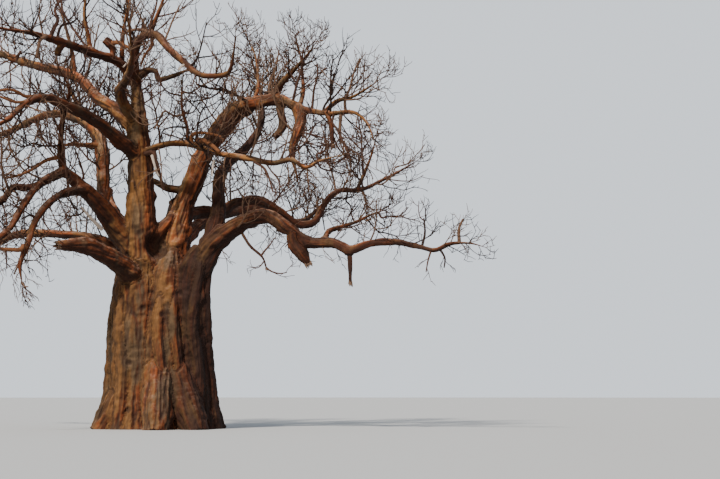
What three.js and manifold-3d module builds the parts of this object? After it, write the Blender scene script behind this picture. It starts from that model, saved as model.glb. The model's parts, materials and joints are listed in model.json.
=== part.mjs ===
// A bare baobab in the dry season: a stout trunk of fused columns, boughs that arch and wander,
// and a leafless crown of twig masses, one on the tip of each living bough.
// Millimetres, +Z up. The origin is the middle of the flat cut under the trunk, at ground level.
// The tables are in metres, and a place in them is [right, back, up] from the origin.
import * as THREE from "three";
import { mergeVertices } from "three/addons/utils/BufferGeometryUtils.js";
import Module from "manifold-3d";

const wasm = await Module();
wasm.setup();

const METRE = 1000;
const UP = new THREE.Vector3(0, 0, 1);
const FACE_GAP = 0.3; // between two solids that meet face to face
const LIMB_CLEARANCE = 25; // between a bough and its neighbours where it leaves the collar
const TWIG_CLEARANCE = 12; // between a twig and whatever it must not touch
const LIMB_SIDES = 7;
const SNAG_SIDES = 6;
const STEM_SIDES = 4;
const TWIG_SIDES = 3;

// The trunk

const TRUNK = {
  sides: 10, // of each column
  steps: 4, // rings up each column, less one
  flare: 0.42, // share by which a column is wider at the ground
  flareHeight: 0.75, // height in which most of the flare is lost
  buried: 0.4, // made this far below the ground, then cut off flat
  clearing: 8, // width of the block that cuts it off
  columns: [
    {
      path: [[-0.6, -0.1, 0], [-0.62, -0.08, 2.4], [-0.6, -0.02, 3.9], [-0.52, 0.0, 4.9]],
      radius: [0.74, 0.76, 0.74, 0.45],
    },
    {
      path: [[0.05, -0.3, 0], [0.08, -0.3, 2.4], [0.15, -0.12, 4.0], [0.3, 0.15, 4.9]],
      radius: [0.72, 0.7, 0.62, 0.4],
    },
    {
      path: [[0.78, -0.1, 0], [0.8, -0.25, 1.9], [0.82, -0.4, 3.5], [0.9, -0.5, 4.4], [1.15, -0.58, 4.9]],
      radius: [0.62, 0.56, 0.49, 0.43, 0.3],
    },
    {
      path: [[0.05, 0.55, 0], [0.05, 0.55, 2.4], [0.0, 0.5, 4.0], [-0.05, 0.5, 4.9]],
      radius: [0.9, 0.86, 0.74, 0.4],
    },
  ],
  roots: {
    count: 7,
    reach: 1.75,
    height: 1.9,
    wander: 0.3, // most that a root's bearing strays, as a share of the step between two
    rows: [[0.35, 1], [0.66, 0.45], [0.85, 0.16], [1.02, -0.08]], // share of the reach, and of the height
    radius: [0.4, 0.44, 0.42, 0.34],
    sides: 7,
  },
  ribs: {
    bearings: [[185, 235, 120], [262, 300], [285, 340, 40], [70, 125]], // on each column, in degrees
    wander: 12, // most that a rib strays from its bearing, in degrees
    rows: [0, 0.3, 0.62, 0.92], // shares of the way up the column
    sunk: 0.88, // how far out a rib's middle runs, as a share of the column's radius
    radius: [0.24, 0.2, 0.17, 0.1],
    sides: 5,
  },
};

// The limbs. A limb grows from a place inside the trunk, or from another limb, and passes through
// its bends. A place on a limb is told by the bends: 0 is its start, and 3.5 is half-way from its
// third bend to its fourth. Its radii are spaced evenly over its bends. A limb that bends round a
// wide gap is split into several pieces, and a snag is a dead stump that has stayed on it. Where
// its twigs begin, the bough ends and the limb goes on as the stem of its mass of twigs. Spread is
// how far its side twigs reach, and lift how strongly they turn up, or down if it is negative.

const LIMBS = [
  {
    pieces: ["left_low_bough"],
    start: [-0.75, 0.2, 4.35],
    bends: [
      [-1.38, 0.5, 5.06], [-2.0, 0.8, 5.32], [-2.9, 1.1, 5.42], [-4.05, 1.6, 5.46], [-4.7, 2.1, 5.28],
      [-5.4, 2.6, 5.42], [-6.2, 3.1, 5.7], [-7.0, 3.7, 6.2],
    ],
    radius: [0.25, 0.15, 0.13, 0.12, 0.1, 0.06, 0.02],
    twigs: { from: 4.7, spread: 1.1, lift: 0.4, seed: 3 },
  },
  {
    pieces: ["left_snag"],
    start: [-0.5, -0.15, 3.85],
    bends: [[-0.95, -0.65, 4.3], [-1.48, -1.15, 4.63], [-2.05, -1.6, 4.85], [-2.72, -2.1, 4.82]],
    radius: [0.36, 0.31, 0.27, 0.23, 0.13],
  },
  {
    pieces: ["left_great_bough"],
    start: [-0.55, 0.0, 4.5],
    bends: [
      [-1.09, -0.1, 5.28], [-1.7, -0.3, 6.08], [-2.32, -0.5, 6.68], [-2.7, -0.75, 7.1],
      [-2.74, -1.05, 7.75], [-2.66, -1.4, 8.4], [-2.5, -1.8, 9.0], [-2.8, -2.1, 9.6],
    ],
    radius: [0.42, 0.33, 0.27, 0.2, 0.1, 0.085, 0.07, 0.045, 0.02],
    twigs: { from: 5.6, spread: 1.0, lift: 0.3, seed: 5 },
  },
  {
    pieces: ["left_fork"],
    on: ["left_great_bough", 3.7],
    bends: [
      [-3.0, -1.2, 6.72], [-3.3, -1.75, 6.4], [-3.62, -2.35, 5.8], [-3.87, -2.85, 5.2],
      [-4.15, -3.2, 4.88], [-4.5, -3.6, 4.65], [-4.9, -4.0, 4.2],
    ],
    radius: [0.15, 0.12, 0.08, 0.02],
    twigs: { from: 4.5, spread: 0.9, lift: -0.3, seed: 7 },
  },
  {
    pieces: ["left_bend_bough"],
    on: ["left_fork", 1.9],
    bends: [
      [-3.6, -1.7, 6.38], [-3.9, -1.9, 6.36], [-4.12, -2.25, 6.0], [-4.4, -2.7, 5.75],
      [-4.9, -3.0, 5.6], [-5.5, -3.2, 5.65],
    ],
    radius: [0.12, 0.1, 0.08, 0.02],
    twigs: { from: 3.2, spread: 0.9, lift: 0.0, seed: 9 },
  },
  {
    pieces: ["left_arch"],
    on: ["left_great_bough", 2.6],
    bends: [
      [-2.56, -1.3, 6.32], [-2.92, -1.95, 6.0], [-3.25, -2.45, 5.45], [-3.42, -2.85, 4.8],
      [-3.58, -3.1, 4.25], [-3.5, -3.3, 3.7],
    ],
    radius: [0.15, 0.12, 0.1, 0.07, 0.03],
    twigs: { from: 4.4, spread: 0.7, lift: -0.4, seed: 11 },
  },
  {
    pieces: ["left_middle_bough"],
    on: ["left_great_bough", 1.9],
    bends: [
      [-1.62, 0.3, 6.88], [-1.73, 1.1, 8.1], [-2.31, 1.9, 8.78], [-3.1, 2.6, 9.12], [-3.8, 3.2, 9.02],
      [-4.5, 3.8, 8.78], [-5.2, 4.3, 8.66], [-6.0, 4.8, 8.9], [-6.9, 5.3, 9.35],
    ],
    radius: [0.2, 0.17, 0.15, 0.12, 0.09, 0.05, 0.02],
    twigs: { from: 5.3, spread: 1.2, lift: 0.35, seed: 13 },
  },
  {
    pieces: ["centre_stem"],
    start: [-0.5, 0.0, 4.4],
    bends: [
      [-0.58, -0.1, 5.32], [-0.59, -0.1, 6.3], [-0.63, 0.0, 7.4], [-0.7, 0.0, 8.54], [-0.74, 0.0, 9.3],
      [-0.77, -0.1, 9.75],
    ],
    radius: [0.56, 0.46, 0.4, 0.36, 0.28, 0.17, 0.13],
    snags: [
      {
        at: 5.75,
        bends: [
          [-0.44, -0.4, 9.86], [-0.24, -0.5, 9.83], [-0.16, -0.6, 9.59], [0.33, -0.8, 9.68],
          [0.63, -0.9, 9.8],
        ],
        radius: [0.1, 0.09, 0.08, 0.08, 0.07, 0.04],
      },
    ],
  },
  {
    pieces: ["left_second_bough"],
    on: ["centre_stem", 3.6],
    bends: [
      [-1.32, 0.5, 8.89], [-1.84, 0.9, 9.27], [-2.4, 1.5, 9.95], [-3.2, 2.1, 10.32],
      [-4.08, 2.8, 10.66], [-4.8, 3.3, 11.0], [-5.5, 3.9, 11.35], [-6.25, 4.4, 11.7],
      [-7.0, 4.8, 12.15],
    ],
    radius: [0.26, 0.18, 0.15, 0.12, 0.07, 0.02],
    twigs: { from: 4.9, spread: 1.2, lift: 0.3, seed: 17 },
  },
  {
    shoot: "left_second_riser",
    on: ["left_second_bough", 3.2],
    bends: [[-2.6, 1.7, 10.55], [-2.75, 1.8, 11.2], [-2.95, 1.9, 11.9], [-3.2, 2.1, 12.6]],
    radius: [0.08, 0.06, 0.045, 0.02],
    twigs: { from: 1, spread: 1.1, lift: 0.3, seed: 19 },
  },
  {
    pieces: ["left_third_bough"],
    on: ["centre_stem", 3.05],
    bends: [
      [-1.28, -0.6, 7.93], [-1.9, -1.4, 8.31], [-2.55, -2.2, 8.5], [-3.05, -2.8, 8.6],
      [-3.5, -3.35, 8.35], [-3.9, -3.8, 7.85], [-4.4, -4.3, 7.5], [-5.0, -4.9, 7.3],
    ],
    radius: [0.25, 0.18, 0.14, 0.1, 0.06, 0.02],
    twigs: { from: 4.5, spread: 1.1, lift: 0.1, seed: 23 },
  },
  {
    pieces: ["left_upper_bough"],
    on: ["centre_stem", 5.6],
    bends: [
      [-1.2, -0.6, 10.0], [-1.9, -1.5, 10.08], [-2.4, -2.2, 10.12], [-2.85, -2.8, 10.14],
      [-3.4, -3.5, 10.15], [-4.1, -4.2, 10.1], [-4.8, -4.8, 10.2],
    ],
    radius: [0.17, 0.15, 0.14, 0.12, 0.11, 0.06, 0.04, 0.02],
    snags: [
      {
        at: 1.3,
        bends: [[-1.4, -0.85, 10.32], [-1.47, -0.9, 10.48], [-1.63, -0.93, 10.6]],
        radius: [0.09, 0.1, 0.14, 0.13],
      },
      { at: 3.5, bends: [[-2.72, -2.6, 9.95], [-2.78, -2.65, 9.76]], radius: [0.12, 0.11, 0.08] },
    ],
    twigs: { from: 3.8, spread: 1.2, lift: 0.4, seed: 29 },
  },
  {
    shoot: "left_upper_riser",
    on: ["left_upper_bough", 2.1],
    bends: [[-2.05, -1.5, 10.6], [-2.15, -1.45, 11.2], [-2.1, -1.3, 11.8], [-2.0, -1.2, 12.4]],
    radius: [0.07, 0.055, 0.04, 0.02],
    twigs: { from: 1, spread: 1.0, lift: 0.3, seed: 31 },
  },
  {
    shoot: "crown_riser",
    on: ["left_upper_bough", 0.9],
    bends: [[-1.15, -0.55, 10.5], [-1.1, -0.45, 11.1], [-1.0, -0.3, 11.8], [-1.1, 0.0, 12.5]],
    radius: [0.08, 0.06, 0.045, 0.02],
    twigs: { from: 1, spread: 1.0, lift: 0.3, seed: 37 },
  },
  {
    pieces: ["crest_bough"],
    on: ["centre_stem", 5.8],
    bends: [
      [-0.82, -0.5, 10.2], [-0.6, -1.1, 10.62], [-0.25, -1.6, 10.62], [0.15, -2.4, 10.03],
      [0.55, -3.1, 9.55], [0.9, -3.8, 9.12], [1.35, -4.4, 8.98], [1.62, -4.8, 9.0], [1.72, -5.1, 9.4],
      [1.75, -5.35, 9.9],
    ],
    radius: [0.12, 0.11, 0.12, 0.1, 0.09, 0.07, 0.05, 0.02],
    snags: [
      { at: 2, bends: [[-0.59, -1.12, 10.86], [-0.58, -1.12, 11.1]], radius: [0.07, 0.06, 0.05] },
    ],
    twigs: { from: 6.4, spread: 1.0, lift: 0.3, seed: 41 },
  },
  {
    shoot: "crest_riser",
    on: ["crest_bough", 2.6],
    bends: [[-0.25, -1.4, 11.05], [-0.08, -1.4, 11.5], [0.03, -1.3, 12.0], [0.2, -1.2, 12.6]],
    radius: [0.08, 0.06, 0.045, 0.02],
    twigs: { from: 1, spread: 1.1, lift: 0.3, seed: 43 },
  },
  {
    pieces: ["front_bough"],
    on: ["centre_stem", 3.85],
    bends: [
      [-1.12, -0.5, 8.95], [-1.18, -1.1, 9.17], [-1.0, -1.8, 9.34], [-0.86, -2.7, 9.5],
      [-0.82, -3.5, 9.75], [-0.9, -4.3, 10.3], [-1.0, -4.9, 11.0],
    ],
    radius: [0.16, 0.17, 0.15, 0.12, 0.09, 0.06, 0.03, 0.02],
    twigs: { from: 4.5, spread: 1.1, lift: 0.3, seed: 47 },
  },
  {
    pieces: ["second_stem", "elbow_bough"],
    splits: [6.5],
    start: [0.3, 0.15, 4.3],
    bends: [
      [0.36, 0.3, 5.25], [0.56, 0.5, 6.05], [0.87, 0.65, 6.95], [1.24, 0.8, 7.88], [1.66, 0.8, 8.49],
      [2.11, 0.7, 8.97], [2.6, 0.4, 9.17], [3.26, 0.0, 9.19], [3.83, -0.5, 8.86], [4.5, -1.2, 8.63],
      [5.15, -1.8, 8.56], [5.45, -2.2, 8.2], [5.6, -2.6, 7.6],
    ],
    radius: [0.56, 0.44, 0.32, 0.29, 0.27, 0.29, 0.28, 0.2, 0.17, 0.12, 0.07, 0.055, 0.04, 0.02],
    snags: [
      {
        at: 2.7,
        bends: [[0.15, 0.9, 6.76], [-0.15, 1.2, 6.94], [-0.45, 1.5, 7.1]],
        radius: [0.12, 0.11, 0.08],
      },
      {
        at: 8,
        bends: [[3.29, 0.0, 8.79], [3.34, 0.0, 8.57], [3.28, -0.03, 8.33], [3.1, -0.1, 8.13]],
        radius: [0.12, 0.12, 0.13, 0.12, 0.09],
      },
      {
        at: 9.95,
        bends: [[4.51, -1.3, 8.46], [4.56, -1.37, 8.2], [4.58, -1.4, 7.92], [4.61, -1.42, 7.69]],
        radius: [0.07, 0.075, 0.08, 0.07, 0.055],
      },
    ],
    twigs: { from: 10.3, spread: 0.9, lift: -0.1, seed: 53 },
  },
  {
    pieces: ["elbow_drop"],
    on: ["second_stem", 8.8],
    bends: [
      [3.8, -0.55, 8.51], [3.67, -0.8, 8.1], [3.52, -1.0, 7.7], [3.53, -1.2, 7.34],
      [3.6, -1.4, 6.96], [3.67, -1.6, 6.53],
    ],
    radius: [0.17, 0.19, 0.17, 0.11, 0.075, 0.035, 0.02],
    twigs: { from: 3.9, spread: 0.8, lift: -0.2, seed: 59 },
  },
  {
    shoot: "elbow_first_riser",
    on: ["second_stem", 6.9],
    bends: [[2.66, 0.6, 9.6], [2.68, 0.9, 10.1], [2.62, 1.3, 10.7], [2.4, 1.8, 11.4]],
    radius: [0.08, 0.055, 0.035, 0.015],
    twigs: { from: 1, spread: 1.1, lift: 0.3, seed: 61 },
  },
  {
    shoot: "elbow_second_riser",
    on: ["second_stem", 7.6],
    bends: [[3.3, -0.15, 9.65], [3.65, -0.55, 10.0], [3.95, -0.95, 10.32], [4.2, -1.4, 10.65]],
    radius: [0.1, 0.08, 0.045, 0.015],
    twigs: { from: 1, spread: 1.0, lift: 0.4, seed: 67 },
  },
  {
    shoot: "elbow_third_riser",
    on: ["second_stem", 8.9],
    bends: [[3.88, -0.25, 9.35], [3.9, 0.1, 9.9], [3.86, 0.45, 10.6], [3.68, 0.9, 11.4]],
    radius: [0.08, 0.055, 0.035, 0.015],
    twigs: { from: 1, spread: 1.0, lift: 0.3, seed: 71 },
  },
  {
    shoot: "elbow_fourth_riser",
    on: ["second_stem", 9.8],
    bends: [[4.72, -1.3, 8.95], [5.1, -1.75, 9.0], [5.5, -2.15, 9.2], [5.9, -2.55, 9.45]],
    radius: [0.07, 0.055, 0.035, 0.015],
    twigs: { from: 1, spread: 0.9, lift: 0.3, seed: 73 },
  },
  {
    pieces: ["third_stem"],
    start: [0.9, -0.45, 4.1],
    bends: [
      [1.28, -0.3, 4.95], [1.45, -0.1, 5.45], [1.55, 0.2, 6.02], [1.6, 0.6, 6.96], [1.85, 1.05, 7.5],
      [2.45, 1.9, 8.15], [2.88, 2.7, 8.95], [2.95, 3.3, 9.8], [2.8, 3.9, 10.7], [2.6, 4.4, 11.5],
    ],
    radius: [0.36, 0.33, 0.27, 0.22, 0.19, 0.17, 0.14, 0.1, 0.07, 0.045, 0.02],
    twigs: { from: 7.4, spread: 1.2, lift: 0.3, seed: 79 },
  },
  {
    pieces: ["right_upper_arch", "right_upper_reach"],
    splits: [4.5],
    on: ["second_stem", 1.75],
    bends: [
      [1.0, 1.15, 6.09], [1.7, 1.4, 6.15], [2.05, 1.6, 6.41], [2.76, 1.8, 6.53], [3.42, 2.0, 6.24],
      [3.96, 2.2, 5.91], [4.44, 2.2, 5.99], [4.76, 2.4, 6.52], [5.18, 2.7, 6.97], [5.9, 3.0, 7.05],
      [6.6, 3.4, 7.4], [7.3, 3.8, 7.8], [7.9, 4.2, 8.2],
    ],
    radius: [0.24, 0.17, 0.15, 0.15, 0.13, 0.1, 0.07, 0.045, 0.02],
    twigs: { from: 10.3, spread: 0.9, lift: 0.2, seed: 83 },
  },
  {
    shoot: "right_upper_riser",
    on: ["right_upper_arch", 9.85],
    bends: [[6.0, 2.95, 7.5], [6.2, 3.0, 8.0], [6.33, 3.1, 8.4], [6.45, 3.2, 8.85]],
    radius: [0.06, 0.05, 0.035, 0.02],
    twigs: { from: 1, spread: 0.8, lift: 0.2, seed: 89 },
  },
  {
    pieces: ["right_low_rise", "right_low_reach", "right_low_end"],
    splits: [3.5, 8.6],
    start: [0.95, -0.5, 4.2],
    bends: [
      [1.38, -0.7, 5.0], [1.75, -0.95, 5.32], [2.28, -1.2, 5.62], [2.79, -1.4, 5.75],
      [3.36, -1.7, 5.37], [3.89, -1.9, 5.01], [4.56, -2.2, 4.96], [4.96, -2.4, 4.76],
      [5.51, -2.7, 4.92], [6.11, -2.9, 4.94], [6.73, -3.1, 4.8], [7.1, -3.3, 4.7], [7.48, -3.4, 4.86],
      [8.0, -3.6, 4.86], [8.35, -3.8, 4.74],
    ],
    radius: [0.38, 0.34, 0.28, 0.23, 0.21, 0.19, 0.17, 0.14, 0.13, 0.11, 0.1, 0.08, 0.07, 0.05, 0.03, 0.02],
    snags: [
      {
        at: 5.3,
        bends: [[3.52, -1.8, 4.97], [3.74, -1.85, 4.66], [3.9, -1.87, 4.42]],
        radius: [0.2, 0.2, 0.18, 0.1],
      },
      { at: 8, bends: [[4.97, -2.4, 4.3], [4.97, -2.4, 3.88]], radius: [0.07, 0.06, 0.055] },
      {
        at: 2.6,
        bends: [[2.35, -1.35, 4.95], [2.7, -1.5, 4.6], [2.8, -1.55, 4.3]],
        radius: [0.055, 0.045, 0.03],
      },
    ],
    twigs: { from: 12.2, spread: 0.7, lift: 0.1, seed: 97 },
  },
  {
    shoot: "right_reach_riser",
    on: ["right_low_rise", 6.6],
    bends: [
      [4.45, -1.85, 5.3], [4.8, -1.65, 5.45], [5.25, -1.35, 5.62], [5.75, -1.05, 5.88],
      [6.35, -0.75, 6.1],
    ],
    radius: [0.09, 0.07, 0.045, 0.02],
    twigs: { from: 1.3, spread: 0.9, lift: 0.2, seed: 101 },
  },
  {
    pieces: ["cross_bough"],
    on: ["centre_stem", 3.15],
    bends: [
      [0.0, -0.75, 7.74], [0.72, -1.3, 7.69], [1.51, -2.0, 7.33], [2.28, -2.5, 7.15],
      [2.9, -2.8, 7.0], [3.34, -3.0, 7.07], [3.72, -3.1, 6.85], [4.05, -3.3, 7.0],
      [4.67, -3.8, 7.12],
    ],
    radius: [0.1, 0.1, 0.095, 0.09, 0.085, 0.08, 0.07, 0.055, 0.035, 0.02],
    twigs: { from: 6.3, spread: 0.9, lift: 0, seed: 103 },
  },
  {
    shoot: "cross_riser",
    on: ["cross_bough", 1.9],
    bends: [[0.65, -1.2, 8.15], [0.5, -1.15, 8.7], [0.5, -1.1, 9.3], [0.55, -1.1, 9.9]],
    radius: [0.05, 0.045, 0.035, 0.02],
    twigs: { from: 1, spread: 0.8, lift: 0.2, seed: 107 },
  },
  {
    pieces: ["back_left_bough"],
    start: [-0.5, 0.5, 4.3],
    bends: [
      [-1.0, 1.3, 5.5], [-1.5, 2.3, 6.3], [-1.8, 3.3, 7.4], [-2.0, 4.2, 8.5], [-2.45, 5.0, 9.5],
      [-2.9, 5.6, 10.4], [-3.3, 6.0, 11.3],
    ],
    radius: [0.38, 0.27, 0.22, 0.17, 0.13, 0.09, 0.05, 0.02],
    twigs: { from: 4.8, spread: 1.3, lift: 0.3, seed: 109 },
  },
  {
    pieces: ["back_middle_bough"],
    start: [-0.3, 0.5, 4.3],
    bends: [
      [-0.5, 1.3, 5.7], [-0.62, 2.3, 6.9], [-0.7, 3.4, 8.2], [-0.8, 4.3, 9.3], [-0.8, 5.0, 10.4],
      [-0.5, 5.6, 11.5],
    ],
    radius: [0.38, 0.27, 0.21, 0.15, 0.1, 0.06, 0.02],
    twigs: { from: 4.2, spread: 1.3, lift: 0.3, seed: 113 },
  },
  {
    pieces: ["back_right_bough"],
    start: [0.3, 0.6, 4.3],
    bends: [
      [0.35, 1.5, 6.0], [0.8, 2.6, 7.0], [1.25, 3.6, 8.1], [1.85, 4.5, 9.0], [2.5, 5.2, 9.7],
      [3.2, 5.8, 10.4], [4.0, 6.3, 11.2],
    ],
    radius: [0.38, 0.26, 0.21, 0.17, 0.13, 0.09, 0.05, 0.02],
    twigs: { from: 4.6, spread: 1.3, lift: 0.3, seed: 127 },
  },
  {
    pieces: ["back_low_bough"],
    start: [0.3, 0.7, 4.2],
    bends: [
      [0.6, 1.45, 5.2], [1.2, 2.6, 6.0], [2.1, 3.6, 6.4], [3.05, 4.6, 6.65], [3.85, 5.3, 6.35],
      [4.5, 6.0, 6.45], [5.1, 6.6, 7.0], [5.8, 7.1, 7.5],
    ],
    radius: [0.32, 0.23, 0.19, 0.16, 0.13, 0.09, 0.06, 0.02],
    twigs: { from: 5.2, spread: 1.2, lift: 0.3, seed: 131 },
  },
];

// How a mass branches. Its stem carries side twigs, and each of those carries a few more.

const TWIGS = {
  stemStep: 0.7, // length of a straight stretch of the stem
  spacing: 0.5, // from one side twig to the next along the stem
  mostSides: 5,
  reaches: [2, 1], // straight stretches in a side twig, and in one that it carries
  carried: [2, 2, 2, 1, 1], // twigs that each side twig carries, from the bough's tip on
  firstCarried: 0.35, // share of the way along a side twig at which the first one grows
  shorter: 0.6, // length of a carried twig, as a share of the side twig's
  fading: 0.55, // length of the last side twig, as a share of the first one's
  thickness: 0.026, // radius at the root, as a share of the length
  tip: 0.35, // radius where the last stretch begins to close, as a share of the root's
  spread: [0.75, 1.15], // angle between a twig and its carrier, in radians
  kink: 0.3, // most that a stretch turns from the one before, in radians
  turn: 2.4, // the angle round the carrier from one side twig to the next, in radians
  room: 1.25, // how far from its stem a mass may reach, as a share of its spread
  thinner: 0.9, // radius of a twig, as a share of its carrier's where it grows
};

// Geometry

const metres = ([x, y, z]) => new THREE.Vector3(x, y, z).multiplyScalar(METRE);
const mix = (a, b, t) => a + (b - a) * t;

// The value a share of the way along a list of evenly spaced ones.
function along(values, share) {
  const at = Math.min(Math.max(share, 0), 1) * (values.length - 1);
  const before = Math.min(Math.floor(at), values.length - 2);
  return mix(values[before], values[before + 1], at - before);
}

// A repeatable die: each roll is a number from 0 to 1.
class Dice {
  constructor(seed) {
    this.state = (seed * 7919 + 12345) % 2147483647;
    this.roll();
    this.roll();
  }
  roll() {
    this.state = (this.state * 16807) % 2147483647;
    return this.state / 2147483647;
  }
  between(low, high) {
    return mix(low, high, this.roll());
  }
}

function solidOf(geometry) {
  const bare = geometry.clone();
  bare.deleteAttribute("normal");
  bare.deleteAttribute("uv");
  const merged = mergeVertices(bare, 1e-3);
  return new wasm.Manifold(
    new wasm.Mesh({
      numProp: 3,
      vertProperties: merged.attributes.position.array,
      triVerts: new Uint32Array(merged.index.array),
    }),
  );
}

function meshOf(solid, name, material) {
  const { numVert, numProp, vertProperties, triVerts } = solid.getMesh();
  const positions = new Float32Array(numVert * 3);
  for (let i = 0; i < numVert; i++) {
    positions.set(vertProperties.subarray(i * numProp, i * numProp + 3), i * 3);
  }
  const geometry = new THREE.BufferGeometry();
  geometry.setAttribute("position", new THREE.BufferAttribute(positions, 3));
  geometry.setIndex(new THREE.BufferAttribute(triVerts, 1));
  geometry.computeVertexNormals();
  const mesh = new THREE.Mesh(geometry, material);
  mesh.name = name;
  return mesh;
}

// A cylinder bent along a line of rings, each with its centre, direction and radius. A pointed
// one closes to its last centre.
function bentCylinder(rings, sides, side, pointed = false) {
  const steps = rings.length - 1;
  const geometry = new THREE.CylinderGeometry(pointed ? 0 : 1, 1, 1, sides, steps);
  const position = geometry.attributes.position;
  const flat = new THREE.Vector3();
  for (let i = 0; i < position.count; i++) {
    flat.fromBufferAttribute(position, i);
    const ring = rings[Math.round((flat.y + 0.5) * steps)];
    const across = side.clone().addScaledVector(ring.direction, -side.dot(ring.direction)).normalize();
    const over = across.clone().cross(ring.direction);
    const width = Math.hypot(flat.x, flat.z);
    const scale = width > 1e-6 ? ring.radius / width : 0;
    const place = ring.centre.clone();
    place.addScaledVector(across, flat.x * scale).addScaledVector(over, flat.z * scale);
    position.setXYZ(i, place.x, place.y, place.z);
  }
  return solidOf(geometry);
}

const SHORTEST_STEP = 0.15 * METRE; // between a ring at an end of a piece and one at a bend
const STEEP = 0.35; // sine of the angle from upright under which a tube counts as upright

// A tapering tube through named places: its curve, its radii, and a direction that it never
// runs in, from which its sides are counted.
class Tube {
  constructor(points, radii) {
    this.curve = new THREE.CatmullRomCurve3(points, false, "centripetal");
    this.curve.arcLengthDivisions = 400;
    this.length = this.curve.getLength();
    this.bends = points.length - 1;
    this.radii = radii.map((radius) => radius * METRE);
    const chord = points.at(-1).clone().sub(points[0]).normalize();
    this.side = chord.clone().cross(UP);
    if (this.side.length() < STEEP) this.side.set(0, 1, 0);
    this.side.normalize();
  }
  // The share of the tube's length at which a bend lies.
  shareAt(bend) {
    const lengths = this.curve.getLengths();
    return lengths[Math.round((bend / this.bends) * (lengths.length - 1))] / this.length;
  }
  ring(share) {
    return {
      centre: this.curve.getPointAt(share),
      direction: this.curve.getTangentAt(share),
      radius: along(this.radii, this.curve.getUtoTmapping(share)),
    };
  }
  rings(from, to, steps) {
    return Array.from({ length: steps + 1 }, (_, i) => this.ring(mix(from, to, i / steps)));
  }
  // A piece of the tube, with a ring at each of its ends and one at each bend between them.
  solid(from, to, sides) {
    const shares = [from, to];
    for (let bend = 1; bend < this.bends; bend++) {
      const share = this.shareAt(bend);
      const room = Math.min(share - from, to - share) * this.length;
      if (room > SHORTEST_STEP) shares.push(share);
    }
    shares.sort((a, b) => a - b);
    return bentCylinder(shares.map((share) => this.ring(share)), sides, this.side);
  }
}

// The shortest distance between two straight stretches.
function stretchDistance(a, b, c, d) {
  const u = b.clone().sub(a);
  const v = d.clone().sub(c);
  const w = a.clone().sub(c);
  const uu = u.dot(u);
  const uv = u.dot(v);
  const vv = v.dot(v);
  const uw = u.dot(w);
  const vw = v.dot(w);
  const area = uu * vv - uv * uv;
  let s = area > 1e-9 * uu * vv ? THREE.MathUtils.clamp((uv * vw - vv * uw) / area, 0, 1) : 0;
  const t = THREE.MathUtils.clamp((uv * s + vw) / vv, 0, 1);
  s = THREE.MathUtils.clamp((uv * t - uw) / uu, 0, 1);
  return w.addScaledVector(u, s).addScaledVector(v, -t).length();
}

// The limbs as tubes

const COLLAR_STEP = 0.02; // how finely a limb is searched for the place where it stands clear
const CLEAR_STEP = 60; // how finely its neighbours are searched
const NEIGHBOUR_REACH = 1.2 * METRE; // limbs that start nearer than this on one bough are neighbours
const CHILD_ROOM = 2.5; // length of bough kept round the start of a limb, in radii of that limb
const limbs = new Map();

// A limb that starts on another tube, and the places on it as shares of its length.
function makeLimb(spec) {
  const parent = spec.on ? limbs.get(spec.on[0]) : null;
  const startShare = parent ? parent.tube.shareAt(spec.on[1]) : 0;
  const start = parent ? parent.tube.curve.getPointAt(startShare) : metres(spec.start);
  const tube = new Tube([start, ...spec.bends.map(metres)], spec.radius);
  const splits = (spec.splits ?? []).map((bend) => tube.shareAt(bend));
  const end = spec.twigs ? tube.shareAt(spec.twigs.from) : 1;
  const snags = (spec.snags ?? []).map(({ at, bends, radius }) => {
    const share = tube.shareAt(at);
    return { share, tube: new Tube([tube.curve.getPointAt(share), ...bends.map(metres)], radius) };
  });
  const { shoot, pieces = [], twigs } = spec;
  const name = shoot ?? pieces[0];
  limbs.set(name, { name, pieces, twigs, tube, parent, startShare, splits, end, snags });
}

const columns = TRUNK.columns.map(({ path, radius }) => new Tube(path.map(metres), radius));

// True where a ring stands clear of every ring of another tube.
function isClear(ring, tube) {
  const count = Math.ceil(tube.length / CLEAR_STEP);
  for (let i = 0; i <= count; i++) {
    const other = tube.ring(i / count);
    const room = ring.centre.distanceTo(other.centre) - ring.radius - other.radius;
    if (room < LIMB_CLEARANCE) return false;
  }
  return true;
}

// What a limb's first stretch is fused to or runs beside.
function neighboursOf(limb) {
  const others = limb.parent ? [limb.parent.tube] : [...columns];
  for (const other of limbs.values()) {
    if (other === limb || other.parent !== limb.parent) continue;
    const apart = Math.abs(other.startShare - limb.startShare) * (limb.parent?.tube.length ?? 0);
    if (apart < NEIGHBOUR_REACH) others.push(other.tube);
  }
  return others;
}

// The share of the way along at which a limb leaves its collar. From there on it stands clear
// of its neighbours, and no limb grows from its collar.
function collarEnd(limb) {
  const others = neighboursOf(limb);
  let end = limb.end;
  while (end > COLLAR_STEP) {
    const ring = limb.tube.ring(end - COLLAR_STEP);
    if (!others.every((tube) => isClear(ring, tube))) break;
    end -= COLLAR_STEP;
  }
  for (const child of limbs.values()) {
    if (child.parent !== limb) continue;
    const room = (child.tube.radii[0] * CHILD_ROOM) / limb.tube.length;
    if (child.startShare - room < end) end = Math.max(end, child.startShare + room);
  }
  return end;
}

// The solids

const bark = new THREE.MeshStandardMaterial({ color: 0x7a4a30, roughness: 0.85, metalness: 0 });
const youngBark = new THREE.MeshStandardMaterial({ color: 0x6b4636, roughness: 0.9, metalness: 0 });

// A ring of a column, wider near the ground.
function flaredRing(tube, share) {
  const ring = tube.ring(share);
  ring.radius *= 1 + TRUNK.flare * Math.exp(-ring.centre.z / (TRUNK.flareHeight * METRE));
  return ring;
}

function columnBody(tube) {
  const { sides, steps, buried } = TRUNK;
  const rings = Array.from({ length: steps + 1 }, (_, i) => flaredRing(tube, i / steps));
  rings[0].centre.z -= buried * METRE;
  return bentCylinder(rings, sides, tube.side);
}

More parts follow.
